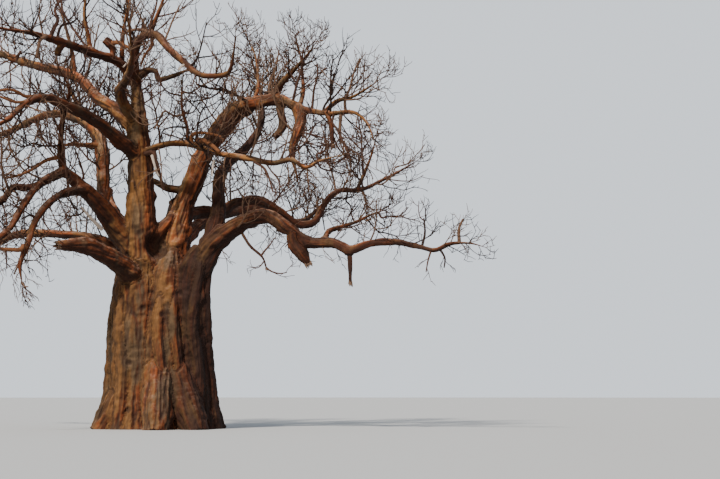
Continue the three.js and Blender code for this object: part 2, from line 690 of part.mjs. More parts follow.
// One of the ribs that run up a column, most of it sunk in the column.
function ribBody(column, bearing, number) {
  const { wander, rows, sunk, radius, sides } = TRUNK.ribs;
  const dice = new Dice(number + 50);
  const path = rows.map((share) => {
    const ring = flaredRing(column, share);
    const angle = THREE.MathUtils.degToRad(bearing + dice.between(-wander, wander));
    const out = new THREE.Vector3(Math.cos(angle), Math.sin(angle), 0);
    return ring.centre.addScaledVector(out, ring.radius * sunk);
  });
  path[0].z -= TRUNK.buried * METRE;
  return new Tube(path, radius).solid(0, 1, sides);
}

// One of the ridges that run down the trunk and out into the ground.
function rootBody(number) {
  const { count, reach, height, radius, wander, sides, rows } = TRUNK.roots;
  const dice = new Dice(number + 1);
  const bearing = ((number + dice.between(-wander, wander)) * 2 * Math.PI) / count;
  const far = reach * dice.between(0.85, 1.1);
  const path = rows.map(([share, level]) =>
    metres([Math.cos(bearing) * far * share, Math.sin(bearing) * far * share, height * level]),
  );
  return new Tube(path, radius).solid(0, 1, sides);
}

function trunkBody() {
  const roots = Array.from({ length: TRUNK.roots.count }, (_, i) => rootBody(i));
  const places = TRUNK.ribs.bearings.flatMap((bearings, i) => bearings.map((at) => [columns[i], at]));
  const ribs = places.map(([column, at], number) => ribBody(column, at, number));
  const width = TRUNK.clearing * METRE;
  const under = new THREE.BoxGeometry(width, width, width).translate(0, 0, -width / 2);
  const bodies = [...columns.map(columnBody), ...roots, ...ribs];
  return wasm.Manifold.union(bodies).subtract(solidOf(under));
}

// The parts of each solid: a trunk or a bough, and the collars and snags fused to it.
const solids = new Map([["trunk", [trunkBody()]]]);

// The name of the solid that carries whatever grows at a share of the way along a limb.
function carrierAt(limb, share) {
  if (!limb) return "trunk";
  if (share < limb.collar) return carrierAt(limb.parent, limb.startShare);
  return limb.pieces[limb.splits.filter((split) => share > split).length];
}

function buildLimb(limb) {
  const { tube, pieces, snags, splits } = limb;
  const collar = pieces.length > 0 ? limb.collar : limb.end;
  const carrier = carrierAt(limb.parent, limb.startShare);
  solids.get(carrier).push(tube.solid(0, collar, LIMB_SIDES));
  const cuts = [collar, ...splits, limb.end];
  pieces.forEach((name, i) => {
    const from = cuts[i] + FACE_GAP / tube.length;
    solids.set(name, [tube.solid(from, cuts[i + 1], LIMB_SIDES)]);
  });
  for (const snag of snags) {
    solids.get(carrierAt(limb, snag.share)).push(snag.tube.solid(0, 1, SNAG_SIDES));
  }
}

LIMBS.forEach(makeLimb);
for (const limb of limbs.values()) limb.collar = collarEnd(limb);
limbs.forEach(buildLimb);

// The twigs

// What a new twig has to keep clear of: stretches of trunk, of limb and of other twigs.
const taken = [];

function take(points, radii, owner) {
  for (let i = 0; i + 1 < points.length; i++) {
    taken.push({ a: points[i], b: points[i + 1], radius: Math.max(radii[i], radii[i + 1]), owner });
  }
}

const TAKEN_STEP = 200; // length of a stretch of limb

function takeTube(tube, from, to, owner) {
  const rings = tube.rings(from, to, Math.ceil(((to - from) * tube.length) / TAKEN_STEP));
  take(rings.map((ring) => ring.centre), rings.map((ring) => ring.radius), owner);
  return rings;
}

columns.forEach((tube) => takeTube(tube, 0, 1, "trunk"));
for (const limb of limbs.values()) {
  takeTube(limb.tube, 0, limb.end, "bough");
  limb.snags.forEach((snag) => takeTube(snag.tube, 0, 1, "bough"));
}
const masses = [...limbs.values()].filter((limb) => limb.twigs);
for (const mass of masses) {
  const rings = takeTube(mass.tube, mass.end, 1, mass.name);
  mass.stemPoints = rings.map((ring) => ring.centre);
}

const nearest = (point, points) => Math.min(...points.map((other) => point.distanceTo(other)));

// A place belongs to the mass whose stem is nearest, and to none if that is too far off.
function isInSpace(point, mass) {
  const own = nearest(point, mass.stemPoints);
  if (own > mass.twigs.spread * METRE * TWIGS.room) return false;
  return masses.every((other) => other === mass || nearest(point, other.stemPoints) > own);
}

function fits({ points, radii }, mass) {
  if (!points.slice(1).every((point) => isInSpace(point, mass))) return false;
  return points.slice(1).every((end, i) =>
    taken.every((other) => {
      if (other.owner === mass.name) return true;
      const room = stretchDistance(points[i], end, other.a, other.b);
      return room > radii[i] + other.radius + TWIG_CLEARANCE;
    }),
  );
}

// A direction turned away from an axis by an angle, on a bearing round it.
function turned(axis, angle, bearing) {
  const across = new THREE.Vector3(0.36, 0.48, 0.8).cross(axis).normalize();
  const over = axis.clone().cross(across);
  return axis
    .clone()
    .multiplyScalar(Math.cos(angle))
    .addScaledVector(across, Math.sin(angle) * Math.cos(bearing))
    .addScaledVector(over, Math.sin(angle) * Math.sin(bearing));
}

// A twig that sets out from a place in a direction and bends as it goes.
function makeTwig(root, heading, length, stretches, radius, lift, dice) {
  const points = [root];
  let direction = heading;
  for (let i = 0; i < stretches; i++) {
    const bent = turned(direction, dice.between(0, TWIGS.kink), dice.between(0, 2 * Math.PI));
    direction = bent.addScaledVector(UP, lift * dice.between(0.5, 1)).normalize();
    points.push(points.at(-1).clone().addScaledVector(direction, length / stretches));
  }
  return { points, radii: points.map((_, i) => radius * mix(1, TWIGS.tip, i / stretches)) };
}

// The twigs that a side twig carries, where they fit.
function carriedTwigs(side, length, count, mass, dice) {
  const carried = [];
  for (let i = 0; i < count; i++) {
    const share = mix(TWIGS.firstCarried, 1, i) * dice.between(0.8, 0.95);
    const at = share * (side.points.length - 1);
    const before = Math.floor(at);
    const root = side.points[before].clone().lerp(side.points[before + 1], at - before);
    const carrier = side.points[before + 1].clone().sub(side.points[before]).normalize();
    const heading = turned(carrier, dice.between(...TWIGS.spread), i * TWIGS.turn + dice.between(0, 2));
    const reach = length * TWIGS.shorter * dice.between(0.8, 1.2);
    const radius = along(side.radii, share) * TWIGS.thinner;
    const twig = makeTwig(root, heading, reach, TWIGS.reaches[1], radius, mass.twigs.lift, dice);
    if (fits(twig, mass)) carried.push(twig);
  }
  return carried;
}

// The side twigs of a mass from the bough's tip on, each with those that it carries.
function sideTwigs(mass) {
  const { tube, end, twigs } = mass;
  const stemLength = (1 - end) * tube.length;
  const count = Math.min(TWIGS.mostSides, Math.round(stemLength / (TWIGS.spacing * METRE)));
  const grown = [];
  for (let k = 0; k < count; k++) {
    const dice = new Dice(twigs.seed * 16 + k);
    const share = (k + dice.between(0.5, 0.8)) / count;
    const ring = tube.ring(mix(end, 1, share));
    const heading = turned(ring.direction, dice.between(...TWIGS.spread), twigs.seed + k * TWIGS.turn);
    const length = twigs.spread * METRE * mix(1, TWIGS.fading, share) * dice.between(0.85, 1.1);
    const radius = Math.min(length * TWIGS.thickness, ring.radius * TWIGS.thinner);
    const side = makeTwig(ring.centre, heading, length, TWIGS.reaches[0], radius, twigs.lift, dice);
    if (!fits(side, mass)) continue;
    grown.push(side, ...carriedTwigs(side, length, TWIGS.carried[k], mass, dice));
  }
  return grown;
}

function twigSolid({ points, radii }) {
  const rings = points.map((centre, i) => {
    const before = points[Math.max(i - 1, 0)];
    const after = points[Math.min(i + 1, points.length - 1)];
    return { centre, direction: after.clone().sub(before).normalize(), radius: radii[i] };
  });
  return bentCylinder(rings, TWIG_SIDES, turned(rings[0].direction, Math.PI / 2, 0.5), true);
}

function massBody(mass) {
  const { tube, end } = mass;
  const from = end + FACE_GAP / tube.length;
  const steps = Math.round(((1 - from) * tube.length) / (TWIGS.stemStep * METRE));
  const stem = bentCylinder(tube.rings(from, 1, Math.max(steps, 2)), STEM_SIDES, tube.side, true);
  const grown = sideTwigs(mass);
  for (const { points, radii } of grown) take(points, radii, mass.name);
  const bodies = wasm.Manifold.union([stem, ...grown.map(twigSolid)]).decompose();
  return bodies.sort((a, b) => b.volume() - a.volume())[0];
}

for (const mass of masses) solids.set(`${mass.pieces.at(-1) ?? mass.name}_twigs`, [massBody(mass)]);

// The whole tree

const tree = new THREE.Group();
for (const [name, parts] of solids) {
  const material = name.endsWith("_twigs") ? youngBark : bark;
  tree.add(meshOf(wasm.Manifold.union(parts), name, material));
}

export default tree;
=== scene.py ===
# A bare baobab in the dry season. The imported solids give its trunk, its boughs and the room that
# its twigs fill. Metres, +Z up, with the origin in the middle of the flat cut under the trunk.
import bisect
import json
import math

import bmesh
import bpy
import numpy as np
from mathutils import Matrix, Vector
from mathutils.bvhtree import BVHTree
from mathutils.kdtree import KDTree

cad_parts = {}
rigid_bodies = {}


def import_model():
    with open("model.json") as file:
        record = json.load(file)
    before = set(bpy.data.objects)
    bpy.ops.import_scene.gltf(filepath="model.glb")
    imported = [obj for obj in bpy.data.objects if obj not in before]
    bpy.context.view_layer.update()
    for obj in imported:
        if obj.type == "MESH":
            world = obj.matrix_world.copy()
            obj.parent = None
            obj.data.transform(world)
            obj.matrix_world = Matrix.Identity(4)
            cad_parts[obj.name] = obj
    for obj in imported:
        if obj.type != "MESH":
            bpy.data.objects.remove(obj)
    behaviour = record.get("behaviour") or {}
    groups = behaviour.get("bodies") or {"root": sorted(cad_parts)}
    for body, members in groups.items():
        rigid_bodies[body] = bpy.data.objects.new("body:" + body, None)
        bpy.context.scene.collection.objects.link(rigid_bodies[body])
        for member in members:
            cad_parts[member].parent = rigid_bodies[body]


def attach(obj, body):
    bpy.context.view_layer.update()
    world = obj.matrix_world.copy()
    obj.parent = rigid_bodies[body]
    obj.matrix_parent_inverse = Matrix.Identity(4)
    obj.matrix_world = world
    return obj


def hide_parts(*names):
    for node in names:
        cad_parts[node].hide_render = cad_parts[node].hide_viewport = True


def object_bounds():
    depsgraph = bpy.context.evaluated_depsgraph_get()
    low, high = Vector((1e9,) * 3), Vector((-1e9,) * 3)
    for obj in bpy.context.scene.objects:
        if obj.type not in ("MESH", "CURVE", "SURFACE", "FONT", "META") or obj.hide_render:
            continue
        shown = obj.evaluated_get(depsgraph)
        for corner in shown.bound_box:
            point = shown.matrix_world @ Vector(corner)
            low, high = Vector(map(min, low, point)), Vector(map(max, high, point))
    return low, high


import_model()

cad_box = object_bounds()

# The trunk is four stems that have grown together, with ridges that run down it and out into
# the ground. It is soft, fibrous wood that keeps its skin of bark, and it stands on the flat cut
# under it, at ground level. A place in these tables is (right, back, up) from the origin.

COLUMNS = [
    dict(path=[(-0.6, -0.1, 0), (-0.62, -0.08, 2.4), (-0.6, -0.02, 3.9), (-0.52, 0, 4.9)],
         radius=[0.74, 0.76, 0.74, 0.45]),
    dict(path=[(0.05, -0.3, 0), (0.08, -0.3, 2.4), (0.15, -0.12, 4), (0.3, 0.15, 4.9)],
         radius=[0.72, 0.7, 0.62, 0.4]),
    dict(path=[(0.78, -0.1, 0), (0.8, -0.25, 1.9), (0.82, -0.4, 3.5), (0.9, -0.5, 4.4),
               (1.15, -0.58, 4.9)],
         radius=[0.62, 0.56, 0.49, 0.43, 0.3]),
    dict(path=[(0.05, 0.55, 0), (0.05, 0.55, 2.4), (0, 0.5, 4), (-0.05, 0.5, 4.9)],
         radius=[0.9, 0.86, 0.74, 0.4]),
]
FLARE = 0.42  # share by which a column is wider at the ground
FLARE_HEIGHT = 0.75
BURIED = 0.4  # made this far below the ground, then cut off flat
ROOTS = dict(  # the ridges, with their bends as shares of their reach and height
    count=7,
    seed=1,
    reach=1.75,
    uneven=(0.85, 1.1),
    height=1.9,
    wander=0.3,
    rows=[(0.35, 1), (0.66, 0.45), (0.85, 0.16), (1.02, -0.08)],
    radius=[0.4, 0.44, 0.42, 0.34],
)
RIBS = dict(
    bearings=[(185, 235, 120), (262, 300), (285, 340, 40), (70, 125)],  # on each column, degrees
    seed=50,
    wander=12,
    rows=[0, 0.3, 0.62, 0.92],
    sunk=0.88,
    radius=[0.24, 0.2, 0.17, 0.1],
)


def mix(a, b, share):
    return a + (b - a) * share


def along(values, share):
    """The value a share of the way along a list of evenly spaced ones."""
    at = min(max(share, 0), 1) * (len(values) - 1)
    before = min(int(at), len(values) - 2)
    return mix(values[before], values[before + 1], at - before)


class Dice:
    """A repeatable die, the same as in the source of the solids."""

    seed_factor, seed_shift = 7919, 12345
    factor, modulus = 16807, 2147483647

    def __init__(self, seed):
        self.state = (seed * self.seed_factor + self.seed_shift) % self.modulus
        self.roll()
        self.roll()

    def roll(self):
        self.state = self.state * self.factor % self.modulus
        return self.state / self.modulus

    def between(self, low, high):
        return mix(low, high, self.roll())

    def bearing(self):
        return self.between(0, 2 * math.pi)


class Path:
    """The middle line of a limb, a centripetal curve through its bends, and its radii."""

    steps = 400
    nudge = 1e-3  # how far apart two points are that tell a direction, as a share

    def __init__(self, places, radii):
        self.places = [Vector(place) for place in places]
        self.radii = radii
        self.bends = len(places) - 1
        points = [self.point(i / self.steps) for i in range(self.steps + 1)]
        self.reach = [0.0]
        for a, b in zip(points, points[1:]):
            self.reach.append(self.reach[-1] + (b - a).length)
        self.length = self.reach[-1]

    def point(self, t):
        """A place on the curve, with the bends evenly spaced in t."""
        places = self.places
        before = min(int(t * self.bends), self.bends - 1)
        w = t * self.bends - before
        b, c = places[before], places[before + 1]
        a = places[before - 1] if before > 0 else 2 * b - c
        d = places[before + 2] if before + 2 <= self.bends else 2 * c - b
        ab = (b - a).length ** 0.5
        bc = (c - b).length ** 0.5
        cd = (d - c).length ** 0.5
        out = ((b - a) / ab - (c - a) / (ab + bc) + (c - b) / bc) * bc
        into = ((c - b) / bc - (d - b) / (bc + cd) + (d - c) / cd) * bc
        return (
            b
            + out * w
            + (3 * (c - b) - 2 * out - into) * w**2
            + (2 * (b - c) + out + into) * w**3
        )

    def share_at(self, bend):
        return self.reach[round(bend / self.bends * self.steps)] / self.length

    def ring(self, share):
        """The centre, direction and radius of a section, a share of the length along."""
        target = share * self.length
        i = min(max(bisect.bisect_left(self.reach, target), 1), self.steps)
        within = (target - self.reach[i - 1]) / (self.reach[i] - self.reach[i - 1])
        t = (i - 1 + within) / self.steps
        low, high = max(t - self.nudge, 0), min(t + self.nudge, 1)
        direction = (self.point(high) - self.point(low)).normalized()
        return self.point(min(t, 1)), direction, along(self.radii, t)

    def rings(self, start, end, count):
        return [self.ring(mix(start, end, i / count)) for i in range(count + 1)]


def root_path(number):
    """One of the ridges that run down the trunk and out into the ground."""
    dice = Dice(number + ROOTS["seed"])
    wander = dice.between(-ROOTS["wander"], ROOTS["wander"])
    bearing = (number + wander) * 2 * math.pi / ROOTS["count"]
    far = ROOTS["reach"] * dice.between(*ROOTS["uneven"])
    places = [
        (math.cos(bearing) * far * share, math.sin(bearing) * far * share, ROOTS["height"] * up)
        for share, up in ROOTS["rows"]
    ]
    return Path(places, ROOTS["radius"])


def flared(radius, centre, _=0):
    """The radius of a column at a place on it, wider near the ground."""
    return radius * (1 + FLARE * math.exp(-centre.z / FLARE_HEIGHT))


def rib_path(column, bearing, number):
    """One of the ribs that run up a column, most of it sunk in the column."""
    dice = Dice(number + RIBS["seed"])
    places = []
    for share in RIBS["rows"]:
        centre, _, radius = column.ring(share)
        angle = math.radians(bearing + dice.between(-RIBS["wander"], RIBS["wander"]))
        out = Vector((math.cos(angle), math.sin(angle), 0))
        places.append(centre + out * flared(radius, centre) * RIBS["sunk"])
    places[0].z -= BURIED
    return Path(places, RIBS["radius"])


columns = [Path(column["path"], column["radius"]) for column in COLUMNS]
roots = [root_path(number) for number in range(ROOTS["count"])]
rib_places = [(column, at) for column, bearings in zip(columns, RIBS["bearings"]) for at in bearings]
ribs = [rib_path(column, at, number) for number, (column, at) in enumerate(rib_places)]

# The boughs arch and wander, each one tapering limb from the trunk or from another bough. Where a
# limb's twigs start, the bough ends and the limb goes on as the stem of its twigs. A place on a
# limb is told by its bends: 3.5 is half-way from the third to the fourth. A snag is a dead stump.

LIMBS = [
    dict(pieces=["left_low_bough"], start=(-0.75, 0.2, 4.35),
         bends=[(-1.38, 0.5, 5.06), (-2, 0.8, 5.32), (-2.9, 1.1, 5.42), (-4.05, 1.6, 5.46),
                (-4.7, 2.1, 5.28), (-5.4, 2.6, 5.42), (-6.2, 3.1, 5.7), (-7, 3.7, 6.2)],
         radius=[0.25, 0.15, 0.13, 0.12, 0.1, 0.06, 0.02],
         twigs=dict(start=4.7, spread=1.1, lift=0.4, seed=3)),
    dict(pieces=["left_snag"], start=(-0.5, -0.15, 3.85),
         bends=[(-0.95, -0.65, 4.3), (-1.48, -1.15, 4.63), (-2.05, -1.6, 4.85), (-2.72, -2.1, 4.82)],
         radius=[0.36, 0.31, 0.27, 0.23, 0.13]),
    dict(pieces=["left_great_bough"], start=(-0.55, 0, 4.5),
         bends=[(-1.09, -0.1, 5.28), (-1.7, -0.3, 6.08), (-2.32, -0.5, 6.68), (-2.7, -0.75, 7.1),
                (-2.74, -1.05, 7.75), (-2.66, -1.4, 8.4), (-2.5, -1.8, 9), (-2.8, -2.1, 9.6)],
         radius=[0.42, 0.33, 0.27, 0.2, 0.1, 0.085, 0.07, 0.045, 0.02],
         twigs=dict(start=5.6, spread=1, lift=0.3, seed=5)),
    dict(pieces=["left_fork"], on=("left_great_bough", 3.7),
         bends=[(-3, -1.2, 6.72), (-3.3, -1.75, 6.4), (-3.62, -2.35, 5.8), (-3.87, -2.85, 5.2),
                (-4.15, -3.2, 4.88), (-4.5, -3.6, 4.65), (-4.9, -4, 4.2)],
         radius=[0.15, 0.12, 0.08, 0.02],
         twigs=dict(start=4.5, spread=0.9, lift=-0.3, seed=7)),
    dict(pieces=["left_bend_bough"], on=("left_fork", 1.9),
         bends=[(-3.6, -1.7, 6.38), (-3.9, -1.9, 6.36), (-4.12, -2.25, 6), (-4.4, -2.7, 5.75),
                (-4.9, -3, 5.6), (-5.5, -3.2, 5.65)],
         radius=[0.12, 0.1, 0.08, 0.02],
         twigs=dict(start=3.2, spread=0.9, lift=0, seed=9)),
    dict(pieces=["left_arch"], on=("left_great_bough", 2.6),
         bends=[(-2.56, -1.3, 6.32), (-2.92, -1.95, 6), (-3.25, -2.45, 5.45), (-3.42, -2.85, 4.8),
                (-3.58, -3.1, 4.25), (-3.5, -3.3, 3.7)],
         radius=[0.15, 0.12, 0.1, 0.07, 0.03],
         twigs=dict(start=4.4, spread=0.7, lift=-0.4, seed=11)),
    dict(pieces=["left_middle_bough"], on=("left_great_bough", 1.9),
         bends=[(-1.62, 0.3, 6.88), (-1.73, 1.1, 8.1), (-2.31, 1.9, 8.78), (-3.1, 2.6, 9.12),
                (-3.8, 3.2, 9.02), (-4.5, 3.8, 8.78), (-5.2, 4.3, 8.66), (-6, 4.8, 8.9),
                (-6.9, 5.3, 9.35)],
         radius=[0.2, 0.17, 0.15, 0.12, 0.09, 0.05, 0.02],
         twigs=dict(start=5.3, spread=1.2, lift=0.35, seed=13)),
    dict(pieces=["centre_stem"], start=(-0.5, 0, 4.4),
         bends=[(-0.58, -0.1, 5.32), (-0.59, -0.1, 6.3), (-0.63, 0, 7.4), (-0.7, 0, 8.54),
                (-0.74, 0, 9.3), (-0.77, -0.1, 9.75)],
         radius=[0.56, 0.46, 0.4, 0.36, 0.28, 0.17, 0.13],
         snags=[
             dict(at=5.75, bends=[(-0.44, -0.4, 9.86), (-0.24, -0.5, 9.83), (-0.16, -0.6, 9.59),
                         (0.33, -0.8, 9.68), (0.63, -0.9, 9.8)],
                  radius=[0.1, 0.09, 0.08, 0.08, 0.07, 0.04]),
         ]),
    dict(pieces=["left_second_bough"], on=("centre_stem", 3.6),
         bends=[(-1.32, 0.5, 8.89), (-1.84, 0.9, 9.27), (-2.4, 1.5, 9.95), (-3.2, 2.1, 10.32),
                (-4.08, 2.8, 10.66), (-4.8, 3.3, 11), (-5.5, 3.9, 11.35), (-6.25, 4.4, 11.7),
                (-7, 4.8, 12.15)],
         radius=[0.26, 0.18, 0.15, 0.12, 0.07, 0.02],
         twigs=dict(start=4.9, spread=1.2, lift=0.3, seed=17)),
    dict(shoot="left_second_riser", on=("left_second_bough", 3.2),
         bends=[(-2.6, 1.7, 10.55), (-2.75, 1.8, 11.2), (-2.95, 1.9, 11.9), (-3.2, 2.1, 12.6)],
         radius=[0.08, 0.06, 0.045, 0.02],
         twigs=dict(start=1, spread=1.1, lift=0.3, seed=19)),
    dict(pieces=["left_third_bough"], on=("centre_stem", 3.05),
         bends=[(-1.28, -0.6, 7.93), (-1.9, -1.4, 8.31), (-2.55, -2.2, 8.5), (-3.05, -2.8, 8.6),
                (-3.5, -3.35, 8.35), (-3.9, -3.8, 7.85), (-4.4, -4.3, 7.5), (-5, -4.9, 7.3)],
         radius=[0.25, 0.18, 0.14, 0.1, 0.06, 0.02],
         twigs=dict(start=4.5, spread=1.1, lift=0.1, seed=23)),
    dict(pieces=["left_upper_bough"], on=("centre_stem", 5.6),
         bends=[(-1.2, -0.6, 10), (-1.9, -1.5, 10.08), (-2.4, -2.2, 10.12), (-2.85, -2.8, 10.14),
                (-3.4, -3.5, 10.15), (-4.1, -4.2, 10.1), (-4.8, -4.8, 10.2)],
         radius=[0.17, 0.15, 0.14, 0.12, 0.11, 0.06, 0.04, 0.02],
         snags=[
             dict(at=1.3, bends=[(-1.4, -0.85, 10.32), (-1.47, -0.9, 10.48), (-1.63, -0.93, 10.6)],
                  radius=[0.09, 0.1, 0.14, 0.13]),
             dict(at=3.5, bends=[(-2.72, -2.6, 9.95), (-2.78, -2.65, 9.76)], radius=[0.12, 0.11, 0.08]),
         ],
         twigs=dict(start=3.8, spread=1.2, lift=0.4, seed=29)),
    dict(shoot="left_upper_riser", on=("left_upper_bough", 2.1),
         bends=[(-2.05, -1.5, 10.6), (-2.15, -1.45, 11.2), (-2.1, -1.3, 11.8), (-2, -1.2, 12.4)],
         radius=[0.07, 0.055, 0.04, 0.02],
         twigs=dict(start=1, spread=1, lift=0.3, seed=31)),
    dict(shoot="crown_riser", on=("left_upper_bough", 0.9),
         bends=[(-1.15, -0.55, 10.5), (-1.1, -0.45, 11.1), (-1, -0.3, 11.8), (-1.1, 0, 12.5)],
         radius=[0.08, 0.06, 0.045, 0.02],
         twigs=dict(start=1, spread=1, lift=0.3, seed=37)),
    dict(pieces=["crest_bough"], on=("centre_stem", 5.8),
         bends=[(-0.82, -0.5, 10.2), (-0.6, -1.1, 10.62), (-0.25, -1.6, 10.62), (0.15, -2.4, 10.03),
                (0.55, -3.1, 9.55), (0.9, -3.8, 9.12), (1.35, -4.4, 8.98), (1.62, -4.8, 9),
                (1.72, -5.1, 9.4), (1.75, -5.35, 9.9)],
         radius=[0.12, 0.11, 0.12, 0.1, 0.09, 0.07, 0.05, 0.02],
         snags=[
             dict(at=2, bends=[(-0.59, -1.12, 10.86), (-0.58, -1.12, 11.1)], radius=[0.07, 0.06, 0.05]),
         ],
         twigs=dict(start=6.4, spread=1, lift=0.3, seed=41)),
    dict(shoot="crest_riser", on=("crest_bough", 2.6),
         bends=[(-0.25, -1.4, 11.05), (-0.08, -1.4, 11.5), (0.03, -1.3, 12), (0.2, -1.2, 12.6)],
         radius=[0.08, 0.06, 0.045, 0.02],
         twigs=dict(start=1, spread=1.1, lift=0.3, seed=43)),
    dict(pieces=["front_bough"], on=("centre_stem", 3.85),
         bends=[(-1.12, -0.5, 8.95), (-1.18, -1.1, 9.17), (-1, -1.8, 9.34), (-0.86, -2.7, 9.5),
                (-0.82, -3.5, 9.75), (-0.9, -4.3, 10.3), (-1, -4.9, 11)],
         radius=[0.16, 0.17, 0.15, 0.12, 0.09, 0.06, 0.03, 0.02],
         twigs=dict(start=4.5, spread=1.1, lift=0.3, seed=47)),
    dict(pieces=["second_stem", "elbow_bough"], splits=[6.5], start=(0.3, 0.15, 4.3),
         bends=[(0.36, 0.3, 5.25), (0.56, 0.5, 6.05), (0.87, 0.65, 6.95), (1.24, 0.8, 7.88),
                (1.66, 0.8, 8.49), (2.11, 0.7, 8.97), (2.6, 0.4, 9.17), (3.26, 0, 9.19),
                (3.83, -0.5, 8.86), (4.5, -1.2, 8.63), (5.15, -1.8, 8.56), (5.45, -2.2, 8.2),
                (5.6, -2.6, 7.6)],
         radius=[0.56, 0.44, 0.32, 0.29, 0.27, 0.29, 0.28, 0.2, 0.17, 0.12, 0.07, 0.055, 0.04, 0.02],
         snags=[
             dict(at=2.7, bends=[(0.15, 0.9, 6.76), (-0.15, 1.2, 6.94), (-0.45, 1.5, 7.1)],
                  radius=[0.12, 0.11, 0.08]),
             dict(at=8, bends=[(3.29, 0, 8.79), (3.34, 0, 8.57), (3.28, -0.03, 8.33),
                         (3.1, -0.1, 8.13)],
                  radius=[0.12, 0.12, 0.13, 0.12, 0.09]),
             dict(at=9.95, bends=[(4.51, -1.3, 8.46), (4.56, -1.37, 8.2), (4.58, -1.4, 7.92),
                         (4.61, -1.42, 7.69)],
                  radius=[0.07, 0.075, 0.08, 0.07, 0.055]),
         ],
         twigs=dict(start=10.3, spread=0.9, lift=-0.1, seed=53)),
    dict(pieces=["elbow_drop"], on=("second_stem", 8.8),
         bends=[(3.8, -0.55, 8.51), (3.67, -0.8, 8.1), (3.52, -1, 7.7), (3.53, -1.2, 7.34),
                (3.6, -1.4, 6.96), (3.67, -1.6, 6.53)],
         radius=[0.17, 0.19, 0.17, 0.11, 0.075, 0.035, 0.02],
         twigs=dict(start=3.9, spread=0.8, lift=-0.2, seed=59)),
    dict(shoot="elbow_first_riser", on=("second_stem", 6.9),
         bends=[(2.66, 0.6, 9.6), (2.68, 0.9, 10.1), (2.62, 1.3, 10.7), (2.4, 1.8, 11.4)],
         radius=[0.08, 0.055, 0.035, 0.015],
         twigs=dict(start=1, spread=1.1, lift=0.3, seed=61)),
    dict(shoot="elbow_second_riser", on=("second_stem", 7.6),
         bends=[(3.3, -0.15, 9.65), (3.65, -0.55, 10), (3.95, -0.95, 10.32), (4.2, -1.4, 10.65)],
         radius=[0.1, 0.08, 0.045, 0.015],
         twigs=dict(start=1, spread=1, lift=0.4, seed=67)),
    dict(shoot="elbow_third_riser", on=("second_stem", 8.9),
         bends=[(3.88, -0.25, 9.35), (3.9, 0.1, 9.9), (3.86, 0.45, 10.6), (3.68, 0.9, 11.4)],
         radius=[0.08, 0.055, 0.035, 0.015],
         twigs=dict(start=1, spread=1, lift=0.3, seed=71)),
    dict(shoot="elbow_fourth_riser", on=("second_stem", 9.8),
         bends=[(4.72, -1.3, 8.95), (5.1, -1.75, 9), (5.5, -2.15, 9.2), (5.9, -2.55, 9.45)],
         radius=[0.07, 0.055, 0.035, 0.015],
         twigs=dict(start=1, spread=0.9, lift=0.3, seed=73)),
    dict(pieces=["third_stem"], start=(0.9, -0.45, 4.1),
         bends=[(1.28, -0.3, 4.95), (1.45, -0.1, 5.45), (1.55, 0.2, 6.02), (1.6, 0.6, 6.96),
                (1.85, 1.05, 7.5), (2.45, 1.9, 8.15), (2.88, 2.7, 8.95), (2.95, 3.3, 9.8),
                (2.8, 3.9, 10.7), (2.6, 4.4, 11.5)],
         radius=[0.36, 0.33, 0.27, 0.22, 0.19, 0.17, 0.14, 0.1, 0.07, 0.045, 0.02],
         twigs=dict(start=7.4, spread=1.2, lift=0.3, seed=79)),
    dict(pieces=["right_upper_arch", "right_upper_reach"], splits=[4.5], on=("second_stem", 1.75),
         bends=[(1, 1.15, 6.09), (1.7, 1.4, 6.15), (2.05, 1.6, 6.41), (2.76, 1.8, 6.53),
                (3.42, 2, 6.24), (3.96, 2.2, 5.91), (4.44, 2.2, 5.99), (4.76, 2.4, 6.52),
                (5.18, 2.7, 6.97), (5.9, 3, 7.05), (6.6, 3.4, 7.4), (7.3, 3.8, 7.8), (7.9, 4.2, 8.2)],
         radius=[0.24, 0.17, 0.15, 0.15, 0.13, 0.1, 0.07, 0.045, 0.02],
         twigs=dict(start=10.3, spread=0.9, lift=0.2, seed=83)),
    dict(shoot="right_upper_riser", on=("right_upper_arch", 9.85),
         bends=[(6, 2.95, 7.5), (6.2, 3, 8), (6.33, 3.1, 8.4), (6.45, 3.2, 8.85)],
         radius=[0.06, 0.05, 0.035, 0.02],
         twigs=dict(start=1, spread=0.8, lift=0.2, seed=89)),
    dict(pieces=["right_low_rise", "right_low_reach", "right_low_end"], splits=[3.5, 8.6],
         start=(0.95, -0.5, 4.2),
         bends=[(1.38, -0.7, 5), (1.75, -0.95, 5.32), (2.28, -1.2, 5.62), (2.79, -1.4, 5.75),
                (3.36, -1.7, 5.37), (3.89, -1.9, 5.01), (4.56, -2.2, 4.96), (4.96, -2.4, 4.76),
                (5.51, -2.7, 4.92), (6.11, -2.9, 4.94), (6.73, -3.1, 4.8), (7.1, -3.3, 4.7),
                (7.48, -3.4, 4.86), (8, -3.6, 4.86), (8.35, -3.8, 4.74)],
         radius=[0.38, 0.34, 0.28, 0.23, 0.21, 0.19, 0.17, 0.14, 0.13, 0.11, 0.1, 0.08, 0.07, 0.05,
                 0.03, 0.02],
         snags=[
             dict(at=5.3, bends=[(3.52, -1.8, 4.97), (3.74, -1.85, 4.66), (3.9, -1.87, 4.42)],
                  radius=[0.2, 0.2, 0.18, 0.1]),
             dict(at=8, bends=[(4.97, -2.4, 4.3), (4.97, -2.4, 3.88)], radius=[0.07, 0.06, 0.055]),
             dict(at=2.6, bends=[(2.35, -1.35, 4.95), (2.7, -1.5, 4.6), (2.8, -1.55, 4.3)],
                  radius=[0.055, 0.045, 0.03]),
         ],
         twigs=dict(start=12.2, spread=0.7, lift=0.1, seed=97)),
    dict(shoot="right_reach_riser", on=("right_low_rise", 6.6),
         bends=[(4.45, -1.85, 5.3), (4.8, -1.65, 5.45), (5.25, -1.35, 5.62), (5.75, -1.05, 5.88),
                (6.35, -0.75, 6.1)],
         radius=[0.09, 0.07, 0.045, 0.02],
